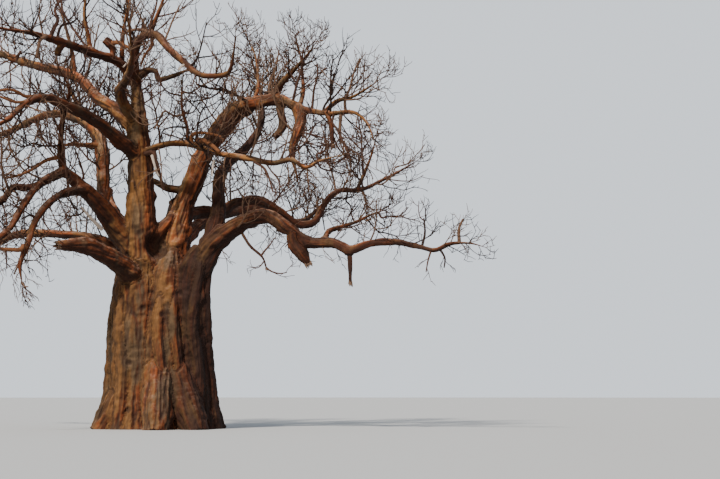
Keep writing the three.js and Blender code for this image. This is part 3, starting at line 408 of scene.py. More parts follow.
         twigs=dict(start=1.3, spread=0.9, lift=0.2, seed=101)),
    dict(pieces=["cross_bough"], on=("centre_stem", 3.15),
         bends=[(0, -0.75, 7.74), (0.72, -1.3, 7.69), (1.51, -2, 7.33), (2.28, -2.5, 7.15),
                (2.9, -2.8, 7), (3.34, -3, 7.07), (3.72, -3.1, 6.85), (4.05, -3.3, 7),
                (4.67, -3.8, 7.12)],
         radius=[0.1, 0.1, 0.095, 0.09, 0.085, 0.08, 0.07, 0.055, 0.035, 0.02],
         twigs=dict(start=6.3, spread=0.9, lift=0, seed=103)),
    dict(shoot="cross_riser", on=("cross_bough", 1.9),
         bends=[(0.65, -1.2, 8.15), (0.5, -1.15, 8.7), (0.5, -1.1, 9.3), (0.55, -1.1, 9.9)],
         radius=[0.05, 0.045, 0.035, 0.02],
         twigs=dict(start=1, spread=0.8, lift=0.2, seed=107)),
    dict(pieces=["back_left_bough"], start=(-0.5, 0.5, 4.3),
         bends=[(-1, 1.3, 5.5), (-1.5, 2.3, 6.3), (-1.8, 3.3, 7.4), (-2, 4.2, 8.5), (-2.45, 5, 9.5),
                (-2.9, 5.6, 10.4), (-3.3, 6, 11.3)],
         radius=[0.38, 0.27, 0.22, 0.17, 0.13, 0.09, 0.05, 0.02],
         twigs=dict(start=4.8, spread=1.3, lift=0.3, seed=109)),
    dict(pieces=["back_middle_bough"], start=(-0.3, 0.5, 4.3),
         bends=[(-0.5, 1.3, 5.7), (-0.62, 2.3, 6.9), (-0.7, 3.4, 8.2), (-0.8, 4.3, 9.3),
                (-0.8, 5, 10.4), (-0.5, 5.6, 11.5)],
         radius=[0.38, 0.27, 0.21, 0.15, 0.1, 0.06, 0.02],
         twigs=dict(start=4.2, spread=1.3, lift=0.3, seed=113)),
    dict(pieces=["back_right_bough"], start=(0.3, 0.6, 4.3),
         bends=[(0.35, 1.5, 6), (0.8, 2.6, 7), (1.25, 3.6, 8.1), (1.85, 4.5, 9), (2.5, 5.2, 9.7),
                (3.2, 5.8, 10.4), (4, 6.3, 11.2)],
         radius=[0.38, 0.26, 0.21, 0.17, 0.13, 0.09, 0.05, 0.02],
         twigs=dict(start=4.6, spread=1.3, lift=0.3, seed=127)),
    dict(pieces=["back_low_bough"], start=(0.3, 0.7, 4.2),
         bends=[(0.6, 1.45, 5.2), (1.2, 2.6, 6), (2.1, 3.6, 6.4), (3.05, 4.6, 6.65), (3.85, 5.3, 6.35),
                (4.5, 6, 6.45), (5.1, 6.6, 7), (5.8, 7.1, 7.5)],
         radius=[0.32, 0.23, 0.19, 0.16, 0.13, 0.09, 0.06, 0.02],
         twigs=dict(start=5.2, spread=1.2, lift=0.3, seed=131)),
]
COLLAR_STEP = 0.02  # how finely a limb is searched for the place where it stands clear
LIMB_CLEARANCE = 0.025
NEIGHBOUR_REACH = 1.2  # limbs that start nearer than this on one bough are neighbours
CHILD_ROOM = 2.5  # bough kept round the start of a limb, in radii of that limb
SECTION_STEP = 0.06  # how far apart the sections of a limb are


class Limb:
    """A bough: its path, what it grows from, and the places on it as shares of its length."""

    def __init__(self, spec, limbs):
        self.pieces = spec.get("pieces", [])
        self.name = spec.get("shoot") or self.pieces[0]
        self.parent = limbs[spec["on"][0]] if "on" in spec else None
        self.start_share = self.parent.path.share_at(spec["on"][1]) if self.parent else 0
        start = self.parent.path.ring(self.start_share)[0] if self.parent else spec["start"]
        self.path = Path([start, *spec["bends"]], spec["radius"])
        self.splits = [self.path.share_at(bend) for bend in spec.get("splits", [])]
        self.twigs = spec.get("twigs")
        self.mass = f"{self.pieces[-1] if self.pieces else self.name}_twigs"
        self.end = self.path.share_at(self.twigs["start"]) if self.twigs else 1
        self.snags = []
        for snag in spec.get("snags", []):
            root = self.path.ring(self.path.share_at(snag["at"]))[0]
            self.snags.append(Path([root, *snag["bends"]], snag["radius"]))


limbs = {}
for spec in LIMBS:
    limb = Limb(spec, limbs)
    limbs[limb.name] = limb


def is_clear(ring, rings):
    return all((ring[0] - c).length - ring[2] - radius > LIMB_CLEARANCE for c, _, radius in rings)


def collar_end(limb, sections):
    """The share of the way along at which a limb leaves the wood that it grows from."""
    near = [limb.parent.name] if limb.parent else [f"column_{i}" for i in range(len(columns))]
    for other in limbs.values():
        if other is limb or other.parent is not limb.parent:
            continue
        length = limb.parent.path.length if limb.parent else 0
        if abs(other.start_share - limb.start_share) * length < NEIGHBOUR_REACH:
            near.append(other.name)
    end = limb.end
    while end > COLLAR_STEP:
        ring = limb.path.ring(end - COLLAR_STEP)
        if not all(is_clear(ring, sections[name]) for name in near):
            break
        end -= COLLAR_STEP
    for child in limbs.values():
        if child.parent is limb:
            room = child.path.radii[0] * CHILD_ROOM / limb.path.length
            if child.start_share - room < end:
                end = max(end, child.start_share + room)
    return end


def sections_of(path):
    return path.rings(0, 1, math.ceil(path.length / SECTION_STEP))


sections = {f"column_{i}": sections_of(path) for i, path in enumerate(columns)}
sections.update({limb.name: sections_of(limb.path) for limb in limbs.values()})
for limb in limbs.values():
    limb.collar = collar_end(limb, sections)


def carrier_at(limb, share):
    """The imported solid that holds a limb, or what grows on it, a share of the way along."""
    if limb is None:
        return "trunk"
    if share < (limb.collar if limb.pieces else limb.end):
        return carrier_at(limb.parent, limb.start_share)
    return limb.pieces[sum(share > split for split in limb.splits)]


# The wood's tubes: every column, ridge, bough and snag as a round tube, from which the bark is
# made in one skin. A limb's tone is how light its bark is, and its ochre how much it has lost
# its red-brown skin to ochre and grey; some tones also hold painted shade or painted light.
# Wires, strands and sweeps serve all later sections too.

FACTS = ["girth", "reach", "limb", "tone", "ochre", "kind"]
VECTOR = "FLOAT_VECTOR"
TUBE_SIDES = [40, 24]  # of a column, and of any other tube
TUBE_STEP = 0.06
TONES = {
    "trunk": (0.4, 0.4),
    "left_snag": (0.5, 0.4),
    "left_great_bough": (0.44, 0.1),
    "left_fork": (0.42, 0.12),
    "left_bend_bough": (0.42, 0.12),
    "left_arch": (0.4, 0.1),
    "left_low_bough": (0.5, 0.15),
    "centre_stem": (0.6, 0.45),
    "left_second_bough": (0.62, 0.26),
    "left_third_bough": (0.6, 0.25),
    "left_upper_bough": (0.75, 0.25),
    "crest_bough": (0.48, 0.15),
    # raised as painted light: this bough lies in the shade of the crest
    "front_bough": (1.3, 0.6),
    "second_stem": (0.64, 0.24),
    "elbow_drop": (0.45, 0.2),
    # lowered as painted shade: the shadow of the elbow bough on this stem
    "third_stem": (0.17, 0.08),
    "right_low_rise": (0.42, 0.12),
    "right_upper_arch": (0.5, 0.15),
    "cross_bough": (0.88, 0.45),
}
OTHER_TONE = (0.6, 0.25)
DEAD_TONE = 0.7  # tone of a dead stub, as a share of its limb's
SHADED_ROOTS = ["right_low_rise", "right_upper_arch", "third_stem"]  # on the flank with painted shade
SHADED_STRETCH = 3  # how far such a limb carries that painted shade
SHADED_FLANK = (0.3, 0.75)  # where painted shade darkens the trunk, from its middle to its right flank
SHADED_FLANK_TONE = 0.38  # tone of that shaded flank, as a share of the trunk's
# the flank's ochre, as a share of the trunk's, under its painted shade
SHADED_FLANK_OCHRE = 0.4
FLANK_TOLD_AT = 0.6  # the share of the way up a ridge that tells its flank
WEB = dict(  # the wood that fills the fork of the two great stems
    path=[(-0.2, 0, 4.8), (-0.16, -0.05, 5.3), (0.03, 0.02, 5.58), (0.28, 0.2, 5.9)],
    radius=[0.25, 0.2, 0.18, 0.12],
    looks=(0.7, 0.3),
)
numbered = list(limbs.values())
TRUNK_NUMBER = len(numbered)  # in the place of a limb's number


class Wire:
    """An output of a new node. Sums and products of wires add the Math nodes that they need."""

    def __init__(self, tree, kind, inputs=None, out=0, **settings):
        self.tree = tree
        self.node = tree.nodes.new(kind)
        for name, value in settings.items():
            setattr(self.node, name, value)
        for name, value in (inputs or {}).items():
            if isinstance(value, Wire):
                tree.links.new(value.socket, self.node.inputs[name])
            else:
                self.node.inputs[name].default_value = value
        self.socket = self.node.outputs[out] if len(self.node.outputs) else None

    def math(self, operation, a, b=0.0):
        return Wire(self.tree, "ShaderNodeMath", {0: a, 1: b}, operation=operation)

    def __add__(self, other):
        return self.math("ADD", self, other)

    def __sub__(self, other):
        return self.math("SUBTRACT", self, other)

    def __rsub__(self, other):
        return self.math("SUBTRACT", other, self)

    def __mul__(self, other):
        return self.math("MULTIPLY", self, other)

    def least(self, other):
        return self.math("MINIMUM", self, other)

    def most(self, other):
        return self.math("MAXIMUM", self, other)

    def size(self):
        return self.math("ABSOLUTE", self)

    def step(self, low, high):
        """Rises smoothly from 0 to 1 as the wire goes from low to high."""
        span = {"Value": self, "From Min": low, "From Max": high}
        return Wire(self.tree, "ShaderNodeMapRange", span, interpolation_type="SMOOTHSTEP")

    def vector(self, operation, other, out="Vector"):
        """A sum, product or measure of two vectors."""
        pair = {0: self, 1: other}
        return Wire(self.tree, "ShaderNodeVectorMath", pair, out, operation=operation)

    def scaled(self, factors):
        """A vector with each of its parts multiplied."""
        return self.vector("MULTIPLY", factors)

    def times(self, length):
        """A vector made longer by a wire or a number."""
        pair = {0: self, "Scale": length}
        return Wire(self.tree, "ShaderNodeVectorMath", pair, operation="SCALE")

    def between(self, first, last):
        """A colour that goes from the first to the last as the wire goes from 0 to 1."""
        return Wire(self.tree, "ShaderNodeMix", {0: self, 6: first, 7: last}, 2, data_type="RGBA")

    def noise(self, scale, detail=3.0, roughness=0.5, distortion=0.0):
        """Noise from about 0.25 to 0.75 over the places that a vector tells."""
        sizes = {"Scale": scale, "Detail": detail, "Roughness": roughness, "Distortion": distortion}
        return Wire(self.tree, "ShaderNodeTexNoise", {"Vector": self, **sizes})

    def cells(self, scale):
        """How far a place is from the nearest of many scattered points."""
        inputs = {"Vector": self, "Scale": scale}
        return Wire(self.tree, "ShaderNodeTexVoronoi", inputs, "Distance")


def fact_in(tree, name, kind="FLOAT"):
    """A fact that each point of a geometry carries."""
    return Wire(tree, "GeometryNodeInputNamedAttribute", {"Name": name}, data_type=kind)


def kept(geometry, name, value, kind="FLOAT"):
    """A geometry whose points carry one more fact."""
    inputs = {"Geometry": geometry, "Name": name, "Value": value}
    node = "GeometryNodeStoreNamedAttribute"
    return Wire(geometry.tree, node, inputs, data_type=kind, domain="POINT")


def shape_tree(name, sizes):
    """A geometry tree with named inputs, and a wire from each of them."""
    tree = bpy.data.node_groups.new(name, "GeometryNodeTree")
    kinds = {"Geometry": "NodeSocketGeometry", **sizes}
    for label, kind in kinds.items():
        tree.interface.new_socket(label, in_out="INPUT", socket_type=kind)
    tree.interface.new_socket("Geometry", in_out="OUTPUT", socket_type="NodeSocketGeometry")
    return tree, {label: Wire(tree, "NodeGroupInput", out=label) for label in kinds}


def settled(piece):
    """Turns a piece's modifiers into its plain mesh."""
    bpy.context.view_layer.update()
    graph = bpy.context.evaluated_depsgraph_get()
    mesh = bpy.data.meshes.new_from_object(
        piece.evaluated_get(graph), preserve_all_data_layers=True, depsgraph=graph
    )
    piece.modifiers.clear()
    piece.data = mesh


def shaped(piece, tree, sizes):
    """Runs a geometry tree on a piece, and keeps what it makes as the piece's plain mesh."""
    modifier = piece.modifiers.new(tree.name, "NODES")
    modifier.node_group = tree
    for item in tree.interface.items_tree:
        if item.in_out == "INPUT" and item.name in sizes:
            modifier[item.identifier] = sizes[item.name]
    settled(piece)


def new_piece(name, mesh):
    piece = bpy.data.objects.new(name, mesh)
    bpy.context.scene.collection.objects.link(piece)
    return piece


def strand_piece(name, strands, facts):
    """Lines of points, each a list of (place, fact, ...), as one object made of edges."""
    places = [point[0] for strand in strands for point in strand]
    edges = []
    start = 0
    for strand in strands:
        edges += [(start + i, start + i + 1) for i in range(len(strand) - 1)]
        start += len(strand)
    mesh = bpy.data.meshes.new(name)
    mesh.from_pydata(places, edges, [])
    for k, fact in enumerate(facts):
        values = [point[k + 1] for strand in strands for point in strand]
        mesh.attributes.new(fact, "FLOAT", "POINT").data.foreach_set("value", values)
    return new_piece(name, mesh)


def sweep_tree(name, sides_of, materials=1):
    """Sweeps round sections along strands. A strand's kind tells the number of its sides, and
    its shade tells its material. The grain tells the place along and across the wood."""
    labels = material_labels(materials)
    tree, given = shape_tree(name, dict.fromkeys(labels, "NodeSocketMaterial"))

    def is_number(name, number):
        """True where a fact is that whole number."""
        apart = {"A": (fact_in(tree, name) - number).size(), "B": 0.5}
        return Wire(tree, "FunctionNodeCompare", apart, operation="LESS_THAN")

    curve = Wire(tree, "GeometryNodeMeshToCurve", {"Mesh": given["Geometry"]})
    place = Wire(tree, "GeometryNodeInputPosition")
    joined = Wire(tree, "GeometryNodeJoinGeometry")
    for number, sides in enumerate(sides_of):
        chosen = {"Geometry": curve, "Selection": is_number("kind", number)}
        part = Wire(tree, "GeometryNodeSeparateGeometry", chosen, domain="CURVE")
        circle = Wire(tree, "GeometryNodeCurvePrimitiveCircle", {"Resolution": sides})
        profile = kept(circle, "section", place, VECTOR)
        swept = {"Curve": part, "Profile Curve": profile, "Fill Caps": True}
        swept["Scale"] = fact_in(tree, "girth")
        tube = Wire(tree, "GeometryNodeCurveToMesh", swept)
        tree.links.new(tube.socket, joined.node.inputs[0])
    section = fact_in(tree, "section", VECTOR)
    lengthwise = Wire(tree, "ShaderNodeCombineXYZ", {"Z": fact_in(tree, "reach")})
    grain = section.times(fact_in(tree, "girth")).vector("ADD", lengthwise)
    grained = kept(joined, "grain", grain, VECTOR)
    smooth = Wire(tree, "GeometryNodeSetShadeSmooth", {"Geometry": grained})
    real = Wire(tree, "GeometryNodeRealizeInstances", {"Geometry": smooth})
    for number, label in enumerate(labels):
        chosen = is_number("shade", number) if number else True
        painted = {"Geometry": real, "Selection": chosen, "Material": given[label]}
        real = Wire(tree, "GeometryNodeSetMaterial", painted)
    Wire(tree, "NodeGroupOutput", {"Geometry": real})
    return tree


def material_labels(count):
    return [f"Material {i + 1}" if i else "Material" for i in range(count)]


def strand_of(path, start, end, facts, step=TUBE_STEP, girth_of=None):
    """A stretch of a path as a strand: at each point its place, girth, reach and facts."""
    count = max(round((end - start) * path.length / step), 2)
    strand = []
    for i in range(count + 1):
        share = mix(start, end, i / count)
        centre, _, radius = path.ring(share)
        if girth_of:
            radius = girth_of(radius, centre, i / count)
        strand.append((centre, radius, share * path.length, *facts))
    return strand


def facts_for(number, kind):
    name = "trunk" if number == TRUNK_NUMBER else numbered[number].name
    return (number, *TONES.get(name, OTHER_TONE), kind)


def trunk_facts(path, kind):
    """The facts of a column or ridge, with painted shade on the right flank."""
    number, tone, ochre, kind = facts_for(TRUNK_NUMBER, kind)
    start, end = SHADED_FLANK
    flank = min(max((path.ring(FLANK_TOLD_AT)[0].x - start) / (end - start), 0), 1)
    return number, tone * mix(1, SHADED_FLANK_TONE, flank), ochre * mix(1, SHADED_FLANK_OCHRE, flank), kind


def shade_rooted(strand):
    """A limb's strand whose first stretch carries the painted shade of the flank that it leaves."""
    shares = [mix(SHADED_FLANK_TONE, 1, min(point[2] / SHADED_STRETCH, 1)) for point in strand]
    return [(*point[:4], point[4] * share, *point[5:]) for point, share in zip(strand, shares)]


strands = []
for path in columns:
    strand = strand_of(path, 0, 1, trunk_facts(path, 0), girth_of=flared)
    foot = strand[0]
    strands.append([(foot[0] - Vector((0, 0, BURIED)), *foot[1:]), *strand])
for path in roots + ribs:
    strands.append(strand_of(path, 0, 1, trunk_facts(path, 1)))
web = Path(WEB["path"], WEB["radius"])
strands.append(strand_of(web, 0, 1, (TRUNK_NUMBER, *WEB["looks"], 1)))
for number, limb in enumerate(numbered):
    strand = strand_of(limb.path, 0, limb.end, facts_for(number, 1))
    strands.append(shade_rooted(strand) if limb.name in SHADED_ROOTS else strand)
    _, tone, ochre, kind = facts_for(number, 1)
    for path in limb.snags:
        strands.append(strand_of(path, 0, 1, (number, tone * DEAD_TONE, ochre, kind)))

wood = strand_piece("wood", strands, FACTS)
shaped(wood, sweep_tree("wood_sweep", TUBE_SIDES), {})

# The bark: one skin over all the tubes, which rounds the forks, so that the boughs swell out of
# the trunk as grown wood does. It is folded along the grain, with wrinkles across it where a limb
# bends, burls, and pits where a twig was shed. It is cut into pieces where the solids meet.

VOXEL = 0.028
ROUNDING = 7  # how often the forks are smoothed
BLURS = dict(looks=12, grain=4, girth=4)  # how often the facts of the tubes are
RELIEF = {  # how deep each form is, in radii of the limb, and the stoutest radius that counts
    "Stoutest": 0.25,
    "Lumps": 0.55,
    "Burls": 0.3,
    "Folds": 0.12,
    "Wrinkles": 0.13,
    "Pits": 0.14,
    "Hollow": 1.0,
    "Fibres": 0.15,
}
FINENESS = dict(  # of each form: in all directions, or twice across the grain and along it
    lumps=1.5,
    small_lumps=4.2,
    burls=1.15,
    folds=(2.4, 2.4, 0.4),
    small_folds=(6, 6, 0.9),
    wrinkles=(2, 2, 11),
    wrinkled=0.9,
    pits=1.7,
    fibres=(15, 15, 2),
)
HOLLOW = (-0.17, -0.35, 4.98)  # where rot has hollowed the fork of the two great stems
HOLLOW_EDGE = (0.12, 0.44)
SLIM_TO_STOUT = (0.07, 0.24)  # limbs over which the rounding of forks sets in

skin = new_piece("skin", wood.data.copy())
remesh = skin.modifiers.new("skin", "REMESH")
remesh.mode = "VOXEL"
remesh.voxel_size = VOXEL
remesh.use_smooth_shade = True
settled(skin)


def relief_tree():
    """Rounds the forks of the skin, and gives it lumps, burls, folds, wrinkles and fibres. Each
    form is a share from 0 to 1, or a noise about 0, before its depth is applied."""
    kinds = {"Tubes": "NodeSocketObject", "Rounding": "NodeSocketInt"}
    kinds.update(dict.fromkeys(RELIEF, "NodeSocketFloat"), Material="NodeSocketMaterial")
    tree, given = shape_tree("bark_relief", kinds)
    tubes = Wire(tree, "GeometryNodeObjectInfo", {"Object": given["Tubes"]}, "Geometry")

    def taken(name, kind="FLOAT"):
        """A fact of the nearest tube."""
        sample = {"Mesh": tubes, "Value": fact_in(tree, name, kind)}
        return Wire(tree, "GeometryNodeSampleNearestSurface", sample, data_type=kind)

    def blurred(value, iterations, kind="FLOAT", weight=1.0):
        inputs = {"Value": value, "Iterations": iterations, "Weight": weight}
        return Wire(tree, "GeometryNodeBlurAttribute", inputs, data_type=kind)

    shape = given["Geometry"]
    for name in ("girth", "reach", "limb"):
        shape = kept(shape, name, taken(name))
    for name in ("tone", "ochre"):
        shape = kept(shape, name, blurred(taken(name), BLURS["looks"]))
    shape = kept(shape, "grain", blurred(taken("grain", VECTOR), BLURS["grain"], VECTOR), VECTOR)
    girth = fact_in(tree, "girth")
    place = Wire(tree, "GeometryNodeInputPosition")
    rounded = blurred(place, given["Rounding"], VECTOR, girth.step(*SLIM_TO_STOUT))
    shape = Wire(tree, "GeometryNodeSetPosition", {"Geometry": shape, "Position": rounded})

    grain = fact_in(tree, "grain", VECTOR)
    stout = blurred(girth, BLURS["girth"]).least(given["Stoutest"])
    lumps = place.noise(FINENESS["lumps"], 2.0) - 0.5
    small_lumps = place.noise(FINENESS["small_lumps"], 2.0) - 0.5
    burls = 1 - place.cells(FINENESS["burls"]).step(0.0, 0.28)
    wide = grain.scaled(FINENESS["folds"]).noise(1, 2.5, 0.5, 0.6)
    fine = grain.scaled(FINENESS["small_folds"]).noise(1, 2.0, 0.5, 0.4)
    folds = 1 - (wide - 0.5).size().step(0.0, 0.085)
    small_folds = 1 - (fine - 0.5).size().step(0.0, 0.07)
    wrinkles = grain.scaled(FINENESS["wrinkles"]).noise(1, 2.0) - 0.5
    ringed = place.noise(FINENESS["wrinkled"]).step(0.48, 0.62)
    pits = 1 - place.cells(FINENESS["pits"]).step(0.05, 0.2)
    fibres = grain.scaled(FINENESS["fibres"]).noise(1, 3.0) - 0.5
    hollow = 1 - place.vector("DISTANCE", HOLLOW, "Value").step(*HOLLOW_EDGE)
    # Painted shade for the bark colour: the folds, pits and rot hollow are darkened.
    crease_shading = folds * 0.8 + small_folds * 0.4 + pits * 0.8 + hollow * 1.4
    shape = kept(shape, "crease", crease_shading.least(1.0))
    height = (lumps + small_lumps * 0.7) * given["Lumps"]
    height = height + burls * given["Burls"]
    height = height - (folds + small_folds * 0.35) * given["Folds"]
    height = height + wrinkles * given["Wrinkles"] * ringed
    height = height - pits * given["Pits"] - hollow * given["Hollow"]
    height = (height + fibres * given["Fibres"]) * stout
    offset = Wire(tree, "GeometryNodeInputNormal").times(height)
    shape = Wire(tree, "GeometryNodeSetPosition", {"Geometry": shape, "Offset": offset})
    smooth = Wire(tree, "GeometryNodeSetShadeSmooth", {"Geometry": shape})
    real = Wire(tree, "GeometryNodeRealizeInstances", {"Geometry": smooth})
    painted = {"Geometry": real, "Material": given["Material"]}
    Wire(tree, "NodeGroupOutput", {"Geometry": Wire(tree, "GeometryNodeSetMaterial", painted)})
    return tree


def new_material(name):
    """A material with an empty tree."""
    material = bpy.data.materials.new(name)
    material.use_nodes = True
    material.node_tree.nodes.clear()
    return material


def finished(material, inputs):
    """Gives a material its shader."""
    shader = Wire(material.node_tree, "ShaderNodeBsdfPrincipled", inputs)
    Wire(material.node_tree, "ShaderNodeOutputMaterial", {"Surface": shader})
    return material


RED_BARK = (0.34, 0.08, 0.018, 1)
BROWN_BARK = (0.09, 0.026, 0.008, 1)
OCHRE_BARK = (0.3, 0.13, 0.036, 1)
GREY_BARK = (0.16, 0.105, 0.055, 1)
# colour of the painted highlight on the tops of the wood
TOP_HIGHLIGHT_BARK = (0.5, 0.31, 0.21, 1)
# colour of the painted shade in the creases, pits and hollow
CREASE_SHADE = (0.02, 0.008, 0.005, 1)
WEATHERED_AND_LIT_SIDE = (-0.9, -0.3, 0.2)  # the side that has lost most of its red skin, painted lit, with painted shade away from it
# how far the painted highlight on the tops goes
TOP_HIGHLIGHT_SHARE = 0.65
DARKEST_TONE = 0.15


def bark_material():
    """Red-brown fibrous bark with ochre and grey patches, painted shade in its creases, under it and
    on the side away from the sun, and a painted highlight on its tops. Its scales, steps and shares
    are set one by one."""
    material = new_material("baobab_bark")
    tree = material.node_tree

    def fact(name, out="Fac"):
        return Wire(tree, "ShaderNodeAttribute", out=out, attribute_name=name)

    place = Wire(tree, "ShaderNodeTexCoord", out="Object")
    grain = fact("grain", "Vector")
    normal = Wire(tree, "ShaderNodeNewGeometry", out="Normal")
    upward = Wire(tree, "ShaderNodeSeparateXYZ", {"Vector": normal}, "Z")
    weathered_and_lit = normal.vector("DOT_PRODUCT", WEATHERED_AND_LIT_SIDE, "Value")
    patches = place.scaled((1.5, 1.5, 0.4)).noise(1.1, 4.0, 0.6, 0.5)
    grey = place.scaled((1, 1, 0.3)).noise(2.3, 4.0, 0.6)
    streaks = grain.scaled((8.0, 8.0, 0.6)).noise(1, 4.0, 0.6)
    threads = grain.scaled((20.0, 20.0, 1.4)).noise(1, 4.0, 0.65)
    mottle = place.noise(7.0, 4.0, 0.65)
    ochre = (patches + fact("ochre") * 0.42 + weathered_and_lit * 0.26 - 0.26).step(0.38, 0.62)
    colour = ochre.between(streaks.step(0.35, 0.68).between(BROWN_BARK, RED_BARK), OCHRE_BARK)
    grey = (grey + ochre * 0.08).step(0.53, 0.68) * (fact("ochre").step(0.05, 0.3) * 0.6 + 0.15)
    colour = grey.between(colour, GREY_BARK)
    # Painted highlight: upward faces turn paler, in a mottle.
    top = upward.step(0.25, 0.95) * mottle.step(0.36, 0.6)
    colour = (top * TOP_HIGHLIGHT_SHARE).between(colour, TOP_HIGHLIGHT_BARK)
    light = threads * 0.8 + streaks * 0.5 + mottle * 0.4 + 0.15
    # Painted shade under the wood: faces that turn downward are darker.
    light = light * fact("tone").most(DARKEST_TONE) * (upward.step(-0.8, 0.6) * 0.85 + 0.35)
    # Painted light on the side toward the sun, painted shade on the side away from it.
    light = light * (weathered_and_lit.step(-0.9, 0.4) * 0.5 + 0.58)
    # Painted shade in the creases, pits and hollow, with dark fibres of the bark itself.
    dark = fact("crease") * 0.75 + threads.step(0.52, 0.72) * 0.4
    colour = dark.least(0.9).between(colour.times(light), CREASE_SHADE)
    height = threads + streaks * 0.8 + mottle * 0.5
    bump = Wire(tree, "ShaderNodeBump", {"Strength": 0.9, "Distance": 0.02, "Height": height})
    look = {"Base Color": colour, "Roughness": mottle * 0.2 + 0.72, "Specular IOR Level": 0.2}
    return finished(material, {**look, "Normal": bump})


bark = bark_material()
shaped(skin, relief_tree(), {"Tubes": wood, "Rounding": ROUNDING, **RELIEF, "Material": bark})

TRUNK_CUT = 2.3  # height at which the trunk's skin is parted into two pieces
PLANE_GRIP = 1e-5
WOOD_PIECES = {
    "trunk_bark": ["trunk"],
    "left_boughs_bark": [
        "left_low_bough", "left_snag", "left_great_bough", "left_fork", "left_bend_bough",
        "left_arch", "left_middle_bough",
    ],
    "centre_stem_bark": [
        "centre_stem", "left_second_bough", "left_third_bough", "left_upper_bough",
        "crest_bough", "front_bough", "cross_bough",
    ],
    "right_stems_bark": [
        "second_stem", "elbow_bough", "elbow_drop", "third_stem", "right_upper_arch",
        "right_upper_reach",
    ],
    "right_boughs_bark": ["right_low_rise", "right_low_reach", "right_low_end"],
    "back_boughs_bark": [
        "back_left_bough", "back_middle_bough", "back_right_bough", "back_low_bough",
    ],
}


def facts_of(mesh, name):
    """A fact of each point of a mesh."""
    values = np.zeros(len(mesh.vertices), np.float32)
    mesh.attributes[name].data.foreach_get("value", values)
    return values


def piece_numbers():
    """For each point of the skin, the number of the piece that holds it."""
    piece_of = {node: i for i, nodes in enumerate(WOOD_PIECES.values()) for node in nodes}
    limb_of = np.round(facts_of(skin.data, "limb")).astype(int)
    reach_of = facts_of(skin.data, "reach")
    pieces = np.zeros(len(limb_of), int)
    for number, limb in enumerate(numbered):
        share = reach_of / limb.path.length
        cuts = [0, *([limb.collar, *limb.splits] if limb.pieces else [])]
        for start, end in zip(cuts, [*cuts[1:], math.inf]):
            piece = piece_of[carrier_at(limb, (start + min(end, limb.end)) / 2)]
            pieces[(limb_of == number) & (share >= start) & (share < end)] = piece
    return pieces


def cut_out(name, faces_in, planes=()):
    """A closed piece made of some of the skin's faces, with each open edge capped. What lies
    beyond a plane, told by its height and the sign of its far side, is cut off."""
    mesh = skin.data.copy()
    work = bmesh.new()
    work.from_mesh(mesh)
    unwanted = [face for face in work.faces if not faces_in[face.index]]
    bmesh.ops.delete(work, geom=unwanted, context="FACES")
    for height, side in planes:
        bmesh.ops.bisect_plane(
            work,
            geom=[*work.verts, *work.edges, *work.faces],
            dist=PLANE_GRIP,
            plane_co=(0, 0, height),
            plane_no=(0, 0, side),
            clear_outer=True,
        )
    caps = bmesh.ops.holes_fill(work, edges=[edge for edge in work.edges if edge.is_boundary])
    for face in caps["faces"]:
        face.smooth = False
        for edge in face.edges:
            edge.smooth = False
    bmesh.ops.triangulate(work, faces=caps["faces"])
    work.to_mesh(mesh)
    work.free()
    return new_piece(name, mesh)


def whole_numbers(items, name):
    """A whole number of each corner or face of a mesh."""
    values = np.zeros(len(items), np.int32)
    items.foreach_get(name, values)
    return values


corners = whole_numbers(skin.data.loops, "vertex_index")
face_piece = piece_numbers()[corners[whole_numbers(skin.data.polygons, "loop_start")]]
wood_pieces = [
    (cut_out("trunk_foot_bark", face_piece == 0, [(0, -1), (TRUNK_CUT, 1)]), ["trunk"]),
    (cut_out("trunk_top_bark", face_piece == 0, [(TRUNK_CUT, -1)]), ["trunk"]),
]
for number, (name, nodes) in enumerate(WOOD_PIECES.items()):
    if number:
        wood_pieces.append((cut_out(name, face_piece == number), nodes))
for piece, nodes in wood_pieces:
    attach(piece, "root")
    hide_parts(*nodes)

# Limb ends: past its bough each limb goes on as a slim stem, which carries the twigs. Its young
# bark is thinner and almost smooth, with knots where side twigs came and went.

KNOTS = 0.16  # most that a stem swells or thins, as a share of its radius
KNOT_SEED = 500
INTO_BOUGH = 0.14  # how far a stem starts inside its bough
STEM_TIP = 0.35  # radius at the very end of a stem, as a share of the limb's there
STEM_STEP = 0.11
STEM_SIDES = 10
YOUNG_TONE = 0.8  # tone of young bark, as a share of its bough's

strands = []
for number, limb in enumerate(numbered):
    if not limb.twigs:
        continue
    dice = Dice(limb.twigs["seed"] + KNOT_SEED)

    def knotty(radius, _, share, dice=dice):
        return radius * mix(1, STEM_TIP, share**3) * dice.between(1 - KNOTS, 1 + KNOTS)

    start = limb.end - INTO_BOUGH / limb.path.length
    _, tone, ochre, kind = facts_for(number, 0)
    facts = (number, tone * YOUNG_TONE, ochre, kind)
    strands.append(strand_of(limb.path, start, 1, facts, STEM_STEP, knotty))
stems = strand_piece("limb_ends_bark", strands, FACTS)
shaped(stems, sweep_tree("stem_sweep", [STEM_SIDES]), {"Material": bark})
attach(stems, "root")
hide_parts(*[limb.mass for limb in numbered if limb.twigs])

# Torn ends: where a dead limb broke off, its pale inner wood stands out of the stump in a ring of
# splinters. They are bare fibres, and start well inside the stump.

